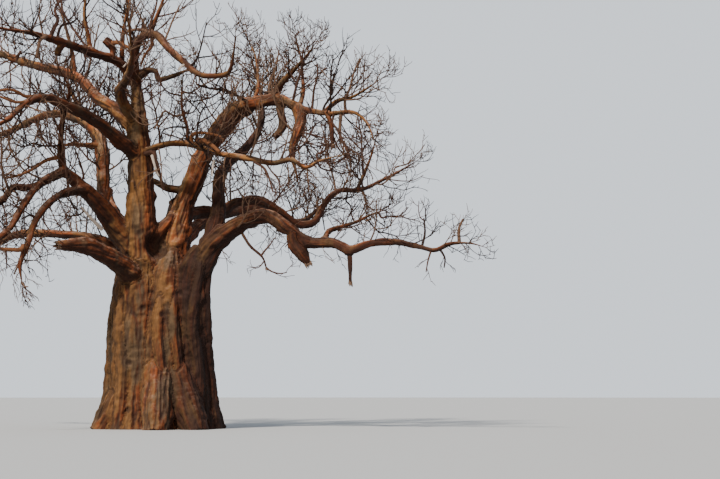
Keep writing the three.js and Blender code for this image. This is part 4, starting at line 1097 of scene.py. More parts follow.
SPLINTERS = dict(
    count=11,
    sides=5,
    seed=700,
    length=(0.02, 0.13),
    turn=(0.05, 0.3),  # how far one turns from the limb's line, in radians
    ring=(0.3, 0.75),  # where one stands and how thick it is, in radii of the limb
    girth=(0.22, 0.42),
    rows=[(0, 1), (0.6, 0.8), (1, 0.15)],  # its taper: how far along, and what is left
)
HEALED = ["left_upper_bough"]  # whose stubs have grown over into knobs
TORN_WOOD = (0.4, 0.25, 0.14, 1)
WEATHERED_WOOD = (0.1, 0.055, 0.032, 1)
LEANING = Vector((0.36, 0.48, 0.8))  # bearings are told from a line across this one
UP = Vector((0, 0, 1))


def turned(axis, angle, bearing):
    """A direction turned away from an axis by an angle, on a bearing round it."""
    across = LEANING.cross(axis).normalized()
    over = axis.cross(across)
    side = across * math.cos(bearing) + over * math.sin(bearing)
    return axis * math.cos(angle) + side * math.sin(angle)


def torn_material():
    material = new_material("torn_wood")
    tree = material.node_tree
    place = Wire(tree, "ShaderNodeTexCoord", out="Object")
    fibres = place.scaled((40, 40, 40)).noise(1, 4.0, 0.6)
    colour = fibres.step(0.5, 0.75).between(WEATHERED_WOOD, TORN_WOOD)
    bump = Wire(tree, "ShaderNodeBump", {"Strength": 0.6, "Distance": 0.01, "Height": fibres})
    return finished(material, {"Base Color": colour, "Roughness": 0.85, "Normal": bump})


def splinters_at(path, number):
    """A ring of splinters that stand out of the broken end of a limb."""
    dice = Dice(number + SPLINTERS["seed"])
    centre, direction, radius = path.ring(1)
    grown = []
    for i in range(SPLINTERS["count"]):
        bearing = (i + dice.roll()) * 2 * math.pi / SPLINTERS["count"]
        out = turned(direction, math.pi / 2, bearing) * radius * dice.between(*SPLINTERS["ring"])
        line = turned(direction, dice.between(*SPLINTERS["turn"]), bearing)
        girth = radius * dice.between(*SPLINTERS["girth"])
        root = centre + out - direction * radius
        length = dice.between(*SPLINTERS["length"]) + radius
        grown.append([
            (root + line * length * share, girth * left, length * share, 0)
            for share, left in SPLINTERS["rows"]
        ])
    return grown


snag_paths = [path for limb in numbered for path in limb.snags if limb.name not in HEALED]
snag_paths += [limb.path for limb in numbered if not limb.twigs and limb.name != "centre_stem"]
strands = [strand for i, path in enumerate(snag_paths) for strand in splinters_at(path, i)]
torn = strand_piece("torn_ends", strands, ["girth", "reach", "kind"])
shaped(torn, sweep_tree("splinter_sweep", [SPLINTERS["sides"]]), {"Material": torn_material()})
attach(torn, "root")

# The twigs: each stem carries side twigs, which branch on to finer ones and curve up to the
# light, or hang where the limb hangs. They grow by the rule of the solids, from the same seeds and
# in the same room, and go on to finer twigs. Shoots stand along the boughs too. All are bare.

TWIGS = dict(  # the rule of the solids
    spacing=0.5,
    most_sides=5,
    seeds=16,
    within=(0.5, 0.8),
    fading=0.55,
    uneven=(0.85, 1.1),
    spread=(0.75, 1.15),
    stretches=2,
    kink=0.3,
    turn=2.4,
    room=1.25,
    clearance=0.012,
)
FINER = [  # how a side twig branches on, and how what it carries does
    dict(spacing=0.25, share=(0.5, 0.95), length=(0.4, 1.25), stretches=6, angle=(0.65, 1.25),
         kind=1),
    dict(spacing=0.25, share=(0.4, 0.85), length=(0.2, 0.55), stretches=4, angle=(0.6, 1.2),
         kind=2),
]
FINER_FIRST = 0.2  # how far along a twig its first finer one stands
FINER_WITHIN = (0.1, 0.9)
FINER_FADING = (1.1, 0.7)
FINER_KINK = 0.45
FINER_GIRTH = 0.85  # most, as a share of the radius of the twig that carries it
BETWEEN = 0.17  # spacing of the side twigs between those of the solids
TIP_SPRAYS = dict(count=3, seed=15, angle=(0.1, 0.5), length=0.45, radius=0.009)
SLIMNESS = 0.021  # radius at the root, as a share of the length
SIDE_GIRTH = (1.15, 0.8)  # of a side twig, in that slimness and in radii of its stem, at most
SLIMMEST = 0.0105
TWIG_TIP = 0.5
TWIG_SIDES = [5, 4, 3, 8]  # of a side twig, its finer ones, theirs, and a stout shoot
STOUT_KIND = 3
STOUT = 0.05  # a shoot of this radius is drawn rounder
UPCURVE = 3.0  # how strongly finer twigs curve up to the light
TESTED_STRETCHES = 5  # of a side twig, when it is tested for touching a bough
BUSHY = dict(  # how closely shoots stand on a limb, where that isn't 1
    left_low_bough=2.2,
    left_great_bough=1.2,
    left_fork=2.2,
    left_bend_bough=2,
    left_arch=2,
    left_middle_bough=1.2,
    centre_stem=0.9,
    elbow_drop=1.7,
    elbow_fourth_riser=1.5,
    cross_bough=1.6,
    left_second_bough=0.75,
    left_third_bough=0.65,
    left_upper_bough=0.8,
    left_upper_riser=0.35,
    left_second_riser=0.35,
    crown_riser=0.2,
    crest_bough=0.5,
    crest_riser=0.3,
    front_bough=0.6,
    elbow_first_riser=0.7,
    elbow_second_riser=0.7,
    right_upper_arch=0.5,
    right_upper_riser=0.6,
)
SHOOTS = dict(  # the shoots along the boughs
    seed=900,
    from_collar=0.3,
    spacing=(0.12, 0.36),
    upper=(0.45, 1.9),
    lower=(0.4, 1.2),
    shortness=1.5,  # how rare the long ones among them are
    high=6.2,  # above this height, and on top of a bough, they are long
    rising=0.1,  # least rise of such a one
    angle=(0.7, 1.3),
    lift=0.35,
    drop=-0.15,  # in place of the lift, for one that sets out downward
    downward=-0.3,
    lowest=4.8,
    sunk=0.7,
    stretch=0.35,
    stem=0.2,  # a limb thicker than this is a stem, with few and short ones
    stem_spacing=2.5,
)
TWIG_SHADES = {
    "dark": (0.025, 0.013, 0.009, 1),
    "brown": (0.065, 0.03, 0.019, 1),
    "pale": (0.11, 0.06, 0.036, 1),
    "tan": (0.16, 0.062, 0.025, 1),
    "bleached": (0.5, 0.4, 0.32, 1),
}
SHADE_NAMES = list(TWIG_SHADES)
BROWN = 1
COMMON_SHADES = 3  # those that a shoot may take by chance
TWIG_MARGIN = 0.25  # how far a twig may reach out of the box of the solids


def sprig(on, radius, *bends, **more):
    """One of the larger shoots that the tree is known by. A free one stands on a snag or on
    another shoot, and the others on the limb itself. A bare one is dead."""
    return dict(on=on, radius=radius, bends=bends, **more)


SPRIG_SEED = 1300
SPRIG_LIFT = 0.3
SPRIG_SEARCH = 200  # places on a limb that are tried for the root of a shoot
SPRIGS = [
    sprig("second_stem", 0.05, (2.16, 0.1, 9.24), (1.78, -0.2, 9.38), (1.24, -0.7, 9.35),
          (0.88, -1, 9.4)),
    sprig("second_stem", 0.04, (2.95, 0.1, 9.58), (3.13, 0.3, 10.1), (3.26, 0.5, 10.73)),
    sprig("second_stem", 0.045, (3.66, -0.5, 9.45), (3.79, -0.7, 9.92), (3.82, -0.9, 10.44)),
    sprig("second_stem", 0.045, (4.9, -1.7, 8.89), (5.03, -1.8, 9.24), (5.15, -1.7, 9.7),
          (5.33, -1.6, 10.11)),
    sprig("second_stem", 0.045, (4.1, -0.8, 8.95), (4.13, -0.9, 9.35), (4.22, -1, 9.7),
          (4.2, -1, 10.05)),
    sprig("second_stem", 0.04, (4.4, -1.1, 8.85), (4.58, -1.2, 9.15), (4.62, -1.2, 9.5),
          (4.75, -1.3, 9.85)),
    sprig("second_stem", 0.05, (4.79, -1.5, 8.01), (4.93, -1.7, 7.6), (5.05, -1.9, 7.25), lift=-0.3),
    sprig("cross_bough", 0.045, (2.39, -2.6, 7.05), (2.64, -2.8, 6.86), (2.76, -3, 6.57),
          (2.86, -3.1, 6.19), lift=-0.3),
    sprig("cross_bough", 0.025, (3.56, -3.1, 6.63), (3.59, -3.15, 6.28), lift=-0.4),
    sprig("cross_bough", 0.022, (3.77, -3.2, 6.51), (3.79, -3.25, 6.2), lift=-0.4),
    sprig("cross_bough", 0.035, (3.99, -3.3, 7.16), (4.18, -3.5, 7.26), (4.37, -3.7, 7.47)),
    sprig("cross_bough", 0.03, (0.98, -1.6, 8.44), (1.14, -1.7, 8.73), (1.18, -1.8, 9.04)),
    sprig("cross_riser", 0.035, (0.29, -1.3, 8.45), (0.04, -1.5, 8.55), (-0.12, -1.7, 8.27),
          (-0.24, -1.8, 7.98)),
    sprig("cross_riser", 0.028, (0.17, -1.3, 9.08), (-0.02, -1.5, 9.2), (-0.13, -1.6, 9.48)),
    sprig("cross_riser", 0.032, (0.72, -1, 9.15), (1.02, -0.8, 9.39), (1.35, -0.7, 9.58),
          (1.65, -0.6, 9.78)),
    sprig("cross_riser", 0.025, (0.8, -1, 8.62), (1.02, -0.8, 9), (1.19, -0.7, 9.24)),
    sprig("right_low_rise", 0.04, (6.86, -3.15, 5.16), (6.84, -3.1, 5.56)),
    sprig("right_low_rise", 0.05, (7.7, -3.5, 5.24), (7.8, -3.55, 5.5)),
    sprig("right_low_rise", 0.03, (6.91, -3.3, 4.41), (6.86, -3.3, 4.12), lift=-0.3),
    sprig("right_low_rise", 0.035, (7.35, -3.35, 4.49), (7.32, -3.4, 4.23), lift=-0.3),
    sprig("right_low_rise", 0.035, (2.66, -1.48, 4.66), (2.76, -1.5, 4.8), (2.88, -1.5, 4.93),
          (3, -1.5, 5.12), free=True, shade="brown"),
    sprig("right_low_rise", 0.028, (2.79, -1.55, 4.34), (2.93, -1.6, 4.23), (3.15, -1.65, 4.17),
          (3.34, -1.7, 4.2), lift=0.1, free=True, shade="brown"),
    sprig("right_low_rise", 0.022, (2.73, -1.51, 4.5), (2.62, -1.55, 4.36), (2.48, -1.6, 4.3),
          lift=-0.2, free=True, shade="brown"),
    sprig("left_upper_bough", 0.06, (-3.02, -3.3, 10.12), (-3.16, -3.4, 9.99), (-3.2, -3.5, 9.74),
          (-3.25, -3.5, 9.5)),
    sprig("left_upper_bough", 0.06, (-2.84, -3, 10.41), (-2.75, -3, 10.62), (-2.83, -3, 10.88),
          (-2.71, -2.9, 11.17)),
    sprig("left_upper_bough", 0.045, (-2.68, -2.8, 10.51), (-2.43, -2.6, 10.64), (-2.27, -2.4, 10.83)),
    sprig("left_second_bough", 0.08, (-4.21, 2.9, 10.65), (-4.29, 2.8, 10.78), (-4.17, 2.7, 10.97)),
    sprig("left_second_bough", 0.03, (-2.37, 1.6, 10.23), (-2.22, 1.4, 10.54), (-2.27, 1.2, 10.79)),
    sprig("left_second_bough", 0.03, (-2.64, 1.7, 10.59), (-2.6, 1.5, 10.96), (-2.52, 1.4, 11.41)),
    sprig("left_second_bough", 0.035, (-1.91, 1, 9.31), (-1.76, 0.8, 9.65), (-1.59, 0.6, 9.91),
          (-1.57, 0.5, 10.26)),
    sprig("left_upper_bough", 0.025, (-1.22, -0.7, 9.66), (-1.19, -0.8, 9.28), lift=-0.3),
    sprig("crest_bough", 0.06, (-0.39, -1.5, 10.68), (-0.58, -1.2, 10.82), (-0.85, -1, 10.86),
          (-1.1, -0.9, 10.76), (-1.18, -0.8, 10.59)),
    sprig("crest_bough", 0.045, (-0.39, -1.5, 10.9), (-0.26, -1.4, 11.34), (-0.18, -1.3, 11.78)),
    sprig("centre_stem", 0.06, (-0.81, -0.2, 10.3), (-0.81, -0.2, 10.76), (-1.01, 0.1, 11.33),
          (-1.14, 0.3, 11.86)),
    sprig("crest_bough", 0.04, (0.02, -2, 10.38), (0.2, -1.9, 10.9), (0.41, -1.7, 11.42)),
    sprig("left_middle_bough", 0.085, (-1.99, 0.9, 7.95), (-2.25, 0.5, 7.88), (-2.5, 0, 7.83),
          (-2.63, -0.5, 7.72), bare=True, shade="tan"),
    sprig("left_great_bough", 0.035, (-2.86, -1.2, 7.59), (-3.06, -1.3, 7.57), (-3.24, -1.4, 7.56),
          (-3.42, -1.5, 7.61), (-3.56, -1.6, 7.53), (-3.71, -1.7, 7.48), (-3.94, -1.8, 7.56)),
    sprig("left_great_bough", 0.025, (-2.81, -1.2, 7.75), (-2.91, -1.3, 7.87), (-3.06, -1.4, 7.9),
          (-3.21, -1.5, 7.9)),
    sprig("left_middle_bough", 0.03, (-3.67, 3.1, 8.79), (-3.66, 3, 8.53), (-3.66, 2.9, 8.28),
          lift=-0.3),
    sprig("left_great_bough", 0.06, (-2.97, -1, 7.27), (-3.09, -1.1, 7.22), (-3.23, -1.2, 7.12),
          (-3.37, -1.3, 6.99), (-3.62, -1.5, 6.81), (-3.86, -1.6, 6.7), (-4.1, -1.8, 6.62), lift=0.1,
          shade="tan"),
    sprig("left_great_bough", 0.04, (-2.15, -0.5, 6.82), (-2.19, -0.5, 7.07), (-2.27, -0.6, 7.3),
          (-2.35, -0.7, 7.51)),
    sprig("left_great_bough", 0.025, (-2.35, -0.6, 6.97), (-2.46, -0.6, 7.11), (-2.53, -0.7, 7.26),
          (-2.57, -0.8, 7.5)),
    sprig("left_middle_bough", 0.045, (-4.56, 3.8, 8.36), (-4.49, 3.7, 8.15), (-4.52, 3.6, 8.01),
          (-4.61, 3.5, 7.83), lift=-0.2),
    sprig("left_bend_bough", 0.03, (-3.41, -1.8, 6.5), (-3.33, -1.8, 6.63), (-3.33, -1.7, 6.83)),
    sprig("left_bend_bough", 0.03, (-4.11, -2.2, 6.2), (-4.15, -2.2, 6.43), (-4.14, -2.2, 6.7)),
    sprig("left_bend_bough", 0.035, (-3.8, -2, 6.2), (-3.75, -2.1, 6.06), (-3.77, -2.2, 5.84),
          lift=-0.3),
    sprig("left_bend_bough", 0.03, (-4.11, -2.4, 5.83), (-4.06, -2.4, 5.68), (-4.01, -2.5, 5.49),
          (-3.98, -2.5, 5.28), lift=-0.3),
    sprig("left_arch", 0.035, (-3.35, -2.5, 5.57), (-3.47, -2.6, 5.53), (-3.61, -2.7, 5.44)),
    sprig("left_low_bough", 0.03, (-2.1, 0.7, 5.64), (-2.07, 0.5, 5.85), (-2.05, 0.3, 6.09)),
    sprig("left_arch", 0.075, (-3.5, -3, 4.72), (-3.59, -3.1, 4.61), (-3.83, -3.2, 4.61),
          (-4.02, -3.3, 4.61), (-4.21, -3.4, 4.68), lift=0.2, shade="tan"),
    sprig("left_arch", 0.04, (-3.57, -3.1, 4.38), (-3.63, -3.1, 4.22), (-3.68, -3.15, 4.09),
          (-3.72, -3.2, 3.98), bare=True),
    sprig("left_arch", 0.03, (-3.93, -3.25, 4.6), (-3.92, -3.25, 4.44), (-3.91, -3.2, 4.29),
          (-3.9, -3.2, 4.11), lift=-0.3, free=True),
    sprig("left_arch", 0.02, (-3.33, -3.1, 4.34), (-3.18, -3.15, 4.34), (-3.05, -3.2, 4.25),
          (-2.87, -3.2, 4.09)),
    sprig("left_arch", 0.035, (-3.48, -3.35, 3.75), (-3.43, -3.4, 3.66), (-3.34, -3.45, 3.65),
          bare=True),
    sprig("second_stem", 0.035, (4.58, -1.45, 8.36), (4.68, -1.5, 8.18), (4.78, -1.6, 7.94),
          (4.88, -1.7, 7.69), (5, -1.8, 7.45), (4.98, -1.8, 7.31), lift=-0.3),
    sprig("second_stem", 0.03, (4.61, -1.42, 7.97), (4.73, -1.5, 7.65), (4.86, -1.6, 7.48),
          (4.99, -1.7, 7.33), (5.08, -1.8, 7.22), (5.21, -1.9, 7.08), lift=-0.3, free=True),
    sprig("second_stem", 0.02, (4.61, -1.42, 7.86), (4.5, -1.4, 7.69), (4.53, -1.4, 7.5), lift=-0.3,
          free=True),
    sprig("second_stem", 0.03, (5.31, -2, 8.41), (5.31, -2.1, 8.26), (5.32, -2.3, 8.06), bare=True),
    sprig("second_stem", 0.025, (5.37, -2.4, 7.96), (5.37, -2.5, 7.73), (5.45, -2.6, 7.53),
          (5.52, -2.7, 7.34), lift=-0.3),
    sprig("second_stem", 0.018, (5.54, -2.3, 8.17), (5.64, -2.4, 8.13), (5.78, -2.5, 8.08)),
    sprig("elbow_drop", 0.03, (3.88, -0.9, 8.12), (4.14, -1, 8.05), (4.34, -1.1, 7.97),
          (4.57, -1.3, 7.9), lift=-0.2),
    sprig("elbow_drop", 0.025, (3.97, -0.7, 8.22), (4.14, -0.8, 8.34), (4.33, -1, 8.45),
          (4.45, -1.1, 8.52)),
    sprig("elbow_drop", 0.03, (3.86, -0.9, 8.04), (4.02, -1, 7.78), (4.23, -1.1, 7.57),
          (4.3, -1.2, 7.44), lift=-0.3),
    sprig("elbow_drop", 0.025, (3.85, -0.95, 7.86), (3.94, -1.1, 7.62), (4.05, -1.2, 7.42),
          (4.13, -1.3, 7.26), lift=-0.3),
    sprig("elbow_drop", 0.03, (3.62, -1.1, 7.64), (3.72, -1.2, 7.49), (3.69, -1.3, 7.28), lift=-0.3),
    sprig("cross_bough", 0.025, (4.27, -3.4, 6.92), (4.55, -3.5, 6.98), (4.69, -3.6, 7.06)),
    sprig("cross_bough", 0.028, (4.07, -3.3, 6.84), (4.23, -3.4, 6.75), (4.44, -3.5, 6.71),
          (4.61, -3.6, 6.64), (4.86, -3.7, 6.67), lift=0),
    sprig("cross_bough", 0.06, (0.75, -1.45, 7.81), (0.76, -1.5, 7.88), (0.85, -1.6, 7.94),
          (1.04, -1.7, 7.94), (1.25, -1.8, 7.9), (1.5, -1.9, 7.83), (1.59, -2, 7.71), bare=True,
          shade="tan"),
    sprig("cross_bough", 0.085, (0.93, -1.65, 7.74), (1.09, -1.75, 7.71), (1.25, -1.95, 7.6),
          (1.41, -2.15, 7.44), (1.48, -2.2, 7.35), shade="tan"),
    sprig("cross_bough", 0.035, (0.98, -1.8, 7.57), (1.09, -1.9, 7.42), (1.22, -2, 7.27),
          (1.42, -2.1, 6.98), (1.67, -2.2, 6.66), lift=-0.3),
    sprig("cross_bough", 0.028, (1.64, -2.2, 7.17), (1.61, -2.3, 6.97), (1.61, -2.3, 6.75),
          (1.59, -2.3, 6.54), lift=-0.3),
    sprig("cross_bough", 0.028, (1.77, -2.3, 7.1), (1.8, -2.3, 6.97), (1.77, -2.3, 6.81),
          (1.85, -2.4, 6.58), lift=-0.3),
    sprig("cross_riser", 0.03, (0.37, -1.4, 8.14), (0.15, -1.5, 8.09), (-0.01, -1.6, 7.99),
          (-0.06, -1.6, 7.79), lift=0.1),
    sprig("cross_bough", 0.028, (0.48, -1.4, 7.81), (0.26, -1.5, 7.87), (0.06, -1.6, 7.89), lift=0.1),
    sprig("centre_stem", 0.075, (-0.27, -0.6, 7.56), (-0.21, -0.6, 7.37), (-0.14, -0.55, 7.15),
          (-0.07, -0.45, 6.92), (0.04, -0.25, 6.56), bare=True, shade="brown"),
    sprig("crest_bough", 0.05, (-0.33, -1.4, 10.34), (-0.46, -1.1, 10.24), (-0.57, -0.8, 10.1),
          (-0.64, -0.45, 9.97), bare=True, shade="tan"),
    sprig("left_upper_bough", 0.07, (-1.42, -0.95, 10.49), (-1.25, -1, 10.5), (-1.09, -1.05, 10.41),
          (-0.92, -1.05, 10.32), (-0.87, -0.9, 10.16), free=True, bare=True, shade="tan"),
    sprig("left_great_bough", 0.06, (-1.63, -0.35, 5.44), (-1.82, -0.55, 5.61), (-2, -0.7, 5.79),
          (-2.18, -0.85, 5.98), free=True, bare=True, shade="bleached"),
    sprig("left_low_bough", 0.025, (-2.11, -0.78, 5.88), (-2.25, -0.8, 5.77), (-2.48, -0.8, 5.74),
          (-2.72, -0.8, 5.74), (-2.82, -0.8, 5.76), lift=0, free=True),
    sprig("left_low_bough", 0.02, (-2.16, -0.82, 5.93), (-2.34, -0.85, 5.94), (-2.48, -0.85, 5.98),
          (-2.64, -0.9, 6.03), lift=0.1, free=True),
    sprig("left_second_bough", 0.035, (-3.47, 2.3, 10.43), (-3.6, 2.3, 10.66), (-3.71, 2.4, 10.77),
          (-3.93, 2.5, 10.87), (-4.02, 2.5, 10.83), (-4.07, 2.6, 10.65)),
    sprig("left_second_bough", 0.03, (-3.6, 2.3, 10.66), (-3.64, 2.2, 10.85), (-3.64, 2.1, 11.08),
          free=True),
    sprig("left_upper_bough", 0.035, (-2.42, -2.2, 9.95), (-2.49, -2.1, 9.81), (-2.63, -2, 9.72),
          (-2.76, -2, 9.65), (-2.76, -2, 9.53), lift=-0.2),
    sprig("left_second_bough", 0.03, (-2.34, 1.4, 10.02), (-2.26, 1.2, 10.2), (-2.21, 1.1, 10.44),
          (-2.18, 1, 10.55)),
    sprig("left_third_bough", 0.06, (-3.22, -3, 8.61), (-3.4, -3.1, 8.57), (-3.56, -3.2, 8.57),
          (-3.7, -3.3, 8.65), (-3.94, -3.4, 8.69), (-4.23, -3.5, 8.62), shade="tan"),
    sprig("left_third_bough", 0.05, (-3.4, -3.2, 8.47), (-3.51, -3.4, 8.38), (-3.72, -3.6, 8.33),
          (-3.9, -3.8, 8.35), (-4.09, -3.9, 8.41), (-4.28, -4, 8.43), shade="tan"),
    sprig("left_second_bough", 0.025, (-4.15, 2.9, 10.5), (-4.14, 2.8, 10.25), (-4.01, 2.7, 10.05),
          (-3.87, 2.6, 9.89), lift=-0.3),
    sprig("left_second_bough", 0.03, (-4.52, 3.1, 10.6), (-4.51, 3.1, 10.42), (-4.47, 3, 10.04),
          (-4.55, 3, 9.8), lift=-0.3),
    sprig("left_upper_bough", 0.03, (-3.76, -3.8, 10.05), (-3.8, -3.9, 9.87), (-3.69, -3.9, 9.61),
          lift=-0.3),
    sprig("left_upper_bough", 0.025, (-3.99, -4, 10.02), (-4, -4.1, 9.84), (-3.9, -4.1, 9.64),
          lift=-0.3),
    sprig("left_upper_bough", 0.045, (-0.87, -1.1, 10.2), (-0.91, -1.15, 10.05), (-0.99, -1.15, 9.92),
          (-1.1, -1.15, 9.79), free=True, bare=True, shade="bleached"),
    sprig("crest_bough", 0.045, (0.52, -3.2, 9.47), (0.44, -3.25, 9.41), (0.38, -3.25, 9.33),
          free=True, bare=True, shade="bleached"),
    sprig("cross_bough", 0.035, (1.35, -2.15, 7.14), (1.32, -2.15, 6.96), (1.3, -2.2, 6.71), free=True,
          bare=True, shade="bleached"),
    sprig("centre_stem", 0.045, (-0.3, -0.66, 7.47), (-0.24, -0.66, 7.25), (-0.16, -0.6, 7.01),
          (-0.1, -0.55, 6.9), free=True, bare=True, shade="bleached"),
    sprig("right_upper_arch", 0.035, (5.48, 2.7, 6.89), (5.42, 2.6, 6.67), (5.54, 2.5, 6.52),
          (5.57, 2.4, 6.24), (5.62, 2.3, 6.02), lift=-0.2),
    sprig("right_upper_arch", 0.03, (6, 3, 6.91), (6.06, 2.9, 6.68), (5.95, 2.8, 6.4),
          (5.82, 2.7, 6.12), lift=-0.2),
    sprig("right_upper_arch", 0.03, (6.06, 3, 6.83), (6.1, 2.9, 6.57), (6.3, 2.8, 6.43),
          (6.52, 2.8, 6.45), (6.69, 2.7, 6.51), (6.79, 2.7, 6.62), lift=0.2),
    sprig("right_reach_riser", 0.025, (5.56, -1.3, 5.67), (5.72, -1.2, 5.8), (5.86, -1.1, 5.97)),
    sprig("right_reach_riser", 0.03, (6, -1, 5.78), (6.18, -0.95, 5.84), (6.41, -0.9, 5.82),
          (6.62, -0.85, 5.93), (6.78, -0.8, 6.11), lift=0.2),
    sprig("right_reach_riser", 0.025, (5.83, -1.3, 5.4), (6.07, -1.4, 5.32), (6.3, -1.5, 5.24),
          (6.43, -1.6, 5.11), lift=-0.1),
    sprig("right_upper_arch", 0.03, (6.56, 3.1, 7.24), (6.79, 3.2, 7.41), (6.93, 3.2, 7.58),
          (7.02, 3.3, 7.81), (7.3, 3.3, 7.87), (7.65, 3.4, 8.05)),
    sprig("right_upper_arch", 0.02, (6.79, 3.2, 7.41), (7.17, 3.2, 7.37), (7.46, 3.3, 7.39),
          (7.68, 3.3, 7.46), (7.89, 3.4, 7.59), lift=0.2, free=True),
    sprig("right_upper_arch", 0.02, (6.56, 3.1, 7.24), (6.78, 3.1, 7.15), (6.99, 3.1, 7.13),
          (7.23, 3.2, 7.09), (7.45, 3.2, 7.15), (7.61, 3.2, 7.23), lift=0.1, free=True),
    sprig("right_upper_arch", 0.025, (5.42, 2.6, 7.2), (5.66, 2.6, 7.34)),
    sprig("right_upper_arch", 0.03, (5.94, 2.9, 7.3), (5.76, 2.8, 7.42), (5.59, 2.7, 7.65),
          (5.5, 2.6, 7.85), (5.4, 2.5, 8.02)),
    sprig("right_upper_arch", 0.03, (4.67, 2.3, 6.28), (4.71, 2.2, 6), (4.74, 2.1, 5.73), bare=True),
    sprig("right_upper_arch", 0.03, (4.66, 2.2, 6.69), (4.5, 2.2, 6.53), (4.51, 2.2, 6.42), lift=-0.3),
    sprig("right_low_rise", 0.02, (6.88, -3.1, 5.48), (6.75, -3.1, 5.57), (6.7, -3.1, 5.76),
          (6.71, -3.1, 6.02), free=True),
    sprig("right_low_rise", 0.022, (6.9, -3.1, 5.49), (6.88, -3.1, 5.71), (6.91, -3.1, 5.91),
          free=True),
    sprig("third_stem", 0.03, (2.87, 2.4, 8.62), (2.9, 2.3, 8.36), (2.85, 2.2, 8.09), lift=-0.3),
    sprig("third_stem", 0.025, (2.99, 2.4, 8.69), (3.02, 2.4, 8.54), (3.13, 2.3, 8.28), lift=-0.3),
    sprig("cross_bough", 0.02, (3.25, -2.9, 6.93), (3.28, -2.9, 6.74), (3.27, -2.9, 6.48),
          (3.29, -2.9, 6.3), lift=-0.3),
    sprig("elbow_drop", 0.02, (3.4, -1, 7.82), (3.19, -1, 7.7), (2.96, -1, 7.58), (2.63, -1, 7.57),
          lift=-0.1),
]


def grown(root, heading, length, stretches, lift, dice, kink):
    """The points of a twig that sets out from a place in a direction and bends as it goes."""
    points = [root]
    direction = heading
    for _ in range(stretches):
        bent = turned(direction, dice.between(0, kink), dice.bearing())
        direction = (bent + UP * lift * dice.between(0.5, 1)).normalized()
        points.append(points[-1] + direction * (length / stretches))
    return points


def rounded(points, count):
    """A smooth line of count stretches through a few points."""
    path = [2 * points[0] - points[1], *points, 2 * points[-1] - points[-2]]
    places = []
    for i in range(count + 1):
        t = i / count * (len(points) - 1)
        k = min(int(t), len(points) - 2)
        w = t - k
        a, b, c, d = path[k : k + 4]
        places.append(
            b + (c - a) * (w / 2) + (2 * a - 5 * b + 4 * c - d) * (w * w / 2)
            + (3 * b - a - 3 * c + d) * (w**3 / 2)
        )
    return places


class Twig:
    """A twig: its points, its radius at the root, and what it is drawn as."""

    very_end = 0.999

    def __init__(self, points, radius, kind, lift, shade):
        self.points = points
        self.radius = radius
        self.kind = kind
        self.lift = lift
        self.shade = shade
        self.length = sum((b - a).length for a, b in zip(points, points[1:]))

    def radius_at(self, share):
        return self.radius * mix(1, TWIG_TIP, share)

    def at(self, share):
        """The place, direction and radius a share of the way along."""
        t = min(max(share, 0), self.very_end) * (len(self.points) - 1)
        k = int(t)
        a, b = self.points[k], self.points[k + 1]
        return a.lerp(b, t - k), (b - a).normalized(), self.radius_at(share)

    def strand(self):
        last = len(self.points) - 1
        return [
            (point, self.radius_at(i / last), 0, self.shade, self.kind)
            for i, point in enumerate(self.points)
        ]


STEM_POINTS = 0.2  # how far apart the points are that tell the room of a stem's twigs
masses = [limb for limb in numbered if limb.twigs]
for mass in masses:
    count = math.ceil((1 - mass.end) * mass.path.length / STEM_POINTS)
    mass.stem = [ring[0] for ring in mass.path.rings(mass.end, 1, count)]
stem_tree = KDTree(sum(len(mass.stem) for mass in masses))
stem_owner = []
for mass in masses:
    for point in mass.stem:
        stem_tree.insert(point, len(stem_owner))
        stem_owner.append(mass)
stem_tree.balance()
wood_tree = BVHTree.FromPolygons(
    [vertex.co for vertex in wood.data.vertices],
    [polygon.vertices[:] for polygon in wood.data.polygons],
)


def is_in_room(point, mass):
    """A place belongs to the mass whose stem is nearest, and to none if that is too far off."""
    _, index, distance = stem_tree.find(point)
    return stem_owner[index] is mass and distance < mass.twigs["spread"] * TWIGS["room"]


def is_clear_of_wood(points, radius):
    """True where a twig past its root neither enters nor touches a bough."""
    for a, b in zip(points[1:], points[2:]):
        if wood_tree.ray_cast(a, (b - a).normalized(), (b - a).length)[0]:
            return False
    room = radius + TWIGS["clearance"]
    return all(wood_tree.find_nearest(point, room)[0] is None for point in points[2:])


def is_in_box(point):
    return all(
        low - TWIG_MARGIN < value < high + TWIG_MARGIN
        for low, value, high in zip(cad_box[0], point, cad_box[1])
    )


twigs = {limb.name: [] for limb in numbered}  # the twigs of each limb


def branch(carrier, level, limb, dice, room):
    """Grows the finer twigs of a twig, and theirs."""
    if level == len(FINER):
        return
    rule = FINER[level]
    thinning = min(BUSHY.get(limb.name, 1), 1) ** 0.5
    count = max(round(carrier.length / rule["spacing"] * thinning), 2)
    for i in range(count):
        share = mix(FINER_FIRST, 1, (i + dice.between(*FINER_WITHIN)) / count)
        root, direction, radius = carrier.at(share)
        heading = turned(direction, dice.between(*rule["angle"]), i * TWIGS["turn"] + dice.roll())
        length = carrier.length * dice.between(*rule["share"]) * mix(*FINER_FADING, share)
        length = min(max(length, rule["length"][0]), rule["length"][1])
        lift = carrier.lift * UPCURVE / rule["stretches"]
        points = grown(root, heading, length, rule["stretches"], lift, dice, FINER_KINK)
        girth = max(min(length * SLIMNESS, radius * FINER_GIRTH), SLIMMEST)
        if not room(points[-1]) or not is_in_box(points[-1]):
            continue
        if not is_clear_of_wood(points, girth):
            continue
        shade = carrier.shade if carrier.shade < COMMON_SHADES else BROWN
        twig = Twig(points, girth, rule["kind"], carrier.lift, shade)
        twigs[limb.name].append(twig)
        branch(twig, level + 1, limb, dice, room)


